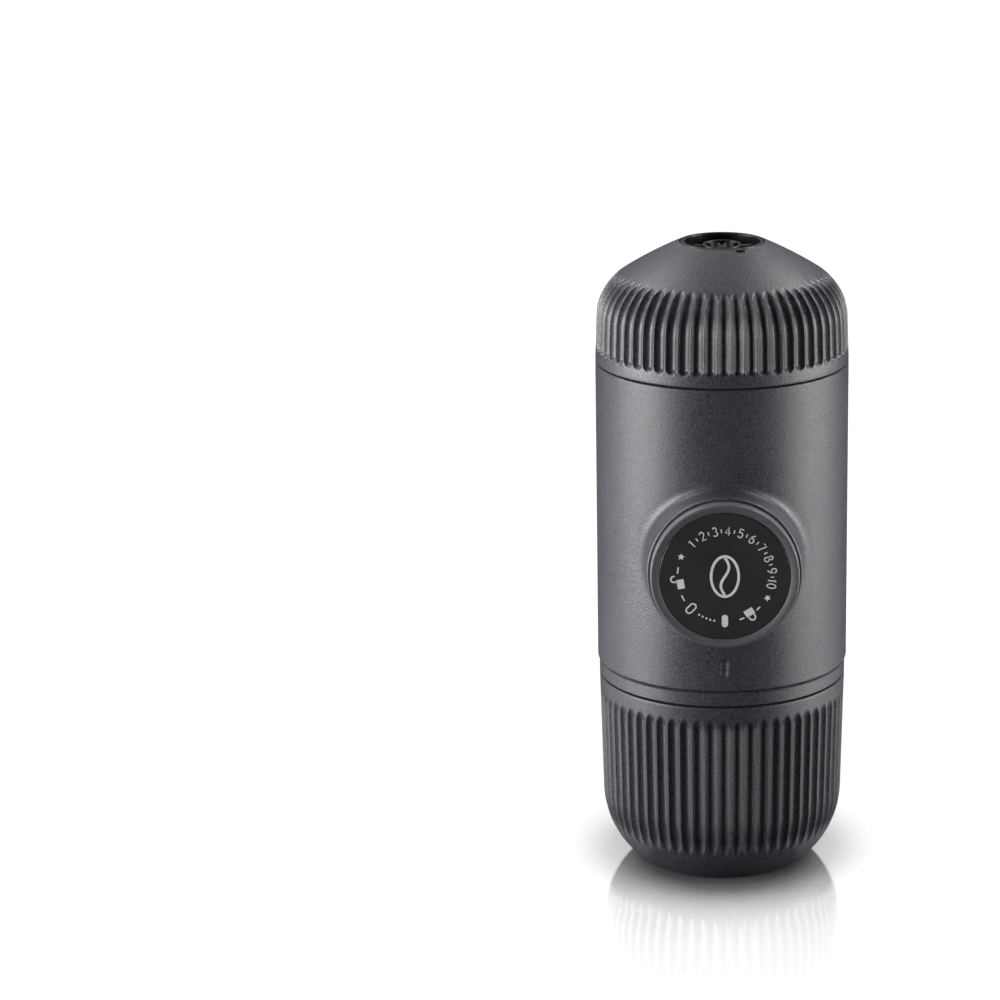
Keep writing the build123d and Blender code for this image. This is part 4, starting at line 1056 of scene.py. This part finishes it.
def light_world():
    world = bpy.data.worlds.new("studio")
    world.use_nodes = True
    bpy.context.scene.world = world
    nodes, links = world.node_tree.nodes, world.node_tree.links
    dim, white = nodes["Background"], nodes.new("ShaderNodeBackground")
    for node, colour, strength in ((dim, (0.95, 0.97, 1.0, 1), 0.05), (white, (1, 1, 1, 1), 1.0)):
        node.inputs["Color"].default_value = colour
        node.inputs["Strength"].default_value = strength
    mix = nodes.new("ShaderNodeMixShader")
    links.new(background_rays(world.node_tree), mix.inputs["Fac"])
    links.new(dim.outputs["Background"], mix.inputs[1])
    links.new(white.outputs["Background"], mix.inputs[2])
    links.new(mix.outputs["Shader"], nodes["World Output"].inputs["Surface"])


def set_stage():
    """The floor, and black cloth that only reflections see: round the studio, above it, on the floor."""
    edge = FLOOR_REACH
    corners = [(-edge, -edge), (edge, -edge), (edge, edge), (-edge, edge)]
    stage_mesh("floor", [(*c, FLOOR_LEVEL) for c in corners], [(0, 1, 2, 3)], floor_material())
    cloth = flag_material()

    def band(name, first, second, middle, spread):
        """A strip between two (radius, height) circles, over so many degrees each side of a bearing.

        Its black side looks inwards if the first circle is the upper one, and on a level strip down if
        the first is the inner one, or else up.
        """
        angles = np.radians(np.linspace(middle - spread, middle + spread, FLAG_COLUMNS))
        around = np.stack((np.cos(angles), np.sin(angles)), axis=1)
        rows = [np.column_stack((around * r, np.full(len(around), z))) for r, z in (first, second)]
        points, faces = sheet(rows)
        flag = stage_mesh(name, points.tolist(), faces, cloth)
        flag.visible_camera = flag.visible_diffuse = flag.visible_shadow = False
        flag.visible_transmission = flag.visible_volume_scatter = False

    for i, (low, high, opening) in enumerate(WALL_BANDS):
        band(f"wall_flag_{i}", (FLAG_RADIUS, high), (FLAG_RADIUS, low), -90, 180 - opening / 2)
    band("top_flag", (TOP_OPENING, FLAG_HEIGHT), (FLAG_RADIUS, FLAG_HEIGHT), -90, 180 - BACK_OPENING / 2)
    for i, (middle, spread) in enumerate(FLOOR_FLAG_SPREADS):
        outer, inner = (FLAG_RADIUS, FLOOR_FLAG_HEIGHT), (FLOOR_FLAG_INNER, FLOOR_FLAG_HEIGHT)
        band(f"floor_flag_{i}", outer, inner, middle, spread)


def set_camera():
    """A long lens from a little above, as in the photograph."""
    lens = bpy.data.cameras.new("photo_view")
    lens.lens, lens.sensor_width, lens.shift_x = CAMERA_LENS, CAMERA_SENSOR, CAMERA_SHIFT
    camera = added("photo_view", lens)
    across, away = math.sin(CAMERA_BEARING), math.cos(CAMERA_BEARING)
    camera.location = (-CAMERA_DISTANCE * across, -CAMERA_DISTANCE * away, CAMERA_HEIGHT)
    camera.rotation_euler = (math.pi / 2 - CAMERA_TILT, 0, -CAMERA_BEARING)
    bpy.context.scene.camera = camera


# -------- build

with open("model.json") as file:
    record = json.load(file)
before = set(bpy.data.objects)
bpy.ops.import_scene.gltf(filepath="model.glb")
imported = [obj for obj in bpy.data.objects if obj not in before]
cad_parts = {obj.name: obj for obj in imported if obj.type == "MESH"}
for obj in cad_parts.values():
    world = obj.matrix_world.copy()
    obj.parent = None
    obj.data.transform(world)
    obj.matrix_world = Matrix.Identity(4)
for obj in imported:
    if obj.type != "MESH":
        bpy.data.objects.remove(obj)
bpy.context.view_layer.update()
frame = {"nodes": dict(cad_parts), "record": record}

FINISHES = {
    "body_grey": moulded("body_grey", srgb(32, 31, 36), srgb(62, 61, 68), 0.43, 0.045, 0.22),
    "knob_grey": moulded("knob_grey", srgb(68, 68, 72), srgb(76, 76, 80), 0.52, 0.03, 0.31),
    "black_plastic": moulded("black_plastic", srgb(24, 24, 26), srgb(34, 34, 36), 0.48, 0.016),
    "white_plastic": moulded("white_plastic", srgb(196, 194, 188), srgb(214, 212, 207), 0.42, 0.010),
    "print_white": clouded(
        "print_white", srgb(186, 187, 190), srgb(206, 207, 210), (0.5, 3.0, 0.6), (0.42, 0.55), 0.15, 0.002
    ),
    "gloss_black": gloss_black(),
    "rubber": clouded(
        "rubber", srgb(17, 17, 18), srgb(27, 27, 28), (3.2, 4.0, 0.62), (0.22, 0.3), 0.25, 0.008,
        Specular_IOR_Level=0.14,
    ),
    "silicone": clouded(
        "silicone", srgb(176, 176, 172), srgb(202, 202, 198), (4.0, 4.0, 0.6), (0.34, 0.48), 0.4, 0.006,
        Subsurface_Weight=0.25, Subsurface_Scale=0.002,
    ),
    "steel": metal("steel", (0.50, 0.50, 0.51), (0.60, 0.60, 0.61), 0.27, (0.05, 0.05, 1.0)),
    "spring_steel": metal("spring_steel", (0.26, 0.25, 0.25), (0.40, 0.39, 0.38), 0.33, (1.0, 0.08, 1.0)),
}
for part in frame["record"]["subparts"]:
    frame["nodes"][part["node"]].data.materials[0] = FINISHES[part["material_slot"]]

knob_low, knob_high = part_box("knob_cap")
dial_low, dial_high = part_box("dial_disc")
KNOB = {
    "face": knob_low.y / MM,
    "skirt_end": knob_high.y / MM,
    "radius": knob_high.x / MM,
    "height": (dial_low.z + dial_high.z) / 2 / MM,
    "dial_face": dial_low.y / MM,
}

new_piece("cup_body", [cup_mesh()], "cup", "body_grey", ["drinking_cup"])
new_piece("tank_body", [tank_mesh()], "tank", "body_grey", ["water_tank"])
new_piece("shell_body", shell_mesh(KNOB), "housing", "body_grey", ["outer_shell"], weld=True)
new_piece("knob_body", [knob_mesh(KNOB)], "knob", "body_grey", ["knob_cap"], finish="knob_grey")
new_piece("vent_insert", vent_mesh(), "tank", "rubber", ["vent_plug"])
new_piece("dial_marks", [dial_marks(KNOB)], "knob", "white_plastic", finish="print_white")

light_world()
set_stage()
set_camera()
for box in SOFTBOXES:
    softbox(*box)

bpy.context.scene.view_settings.view_transform = "Standard"
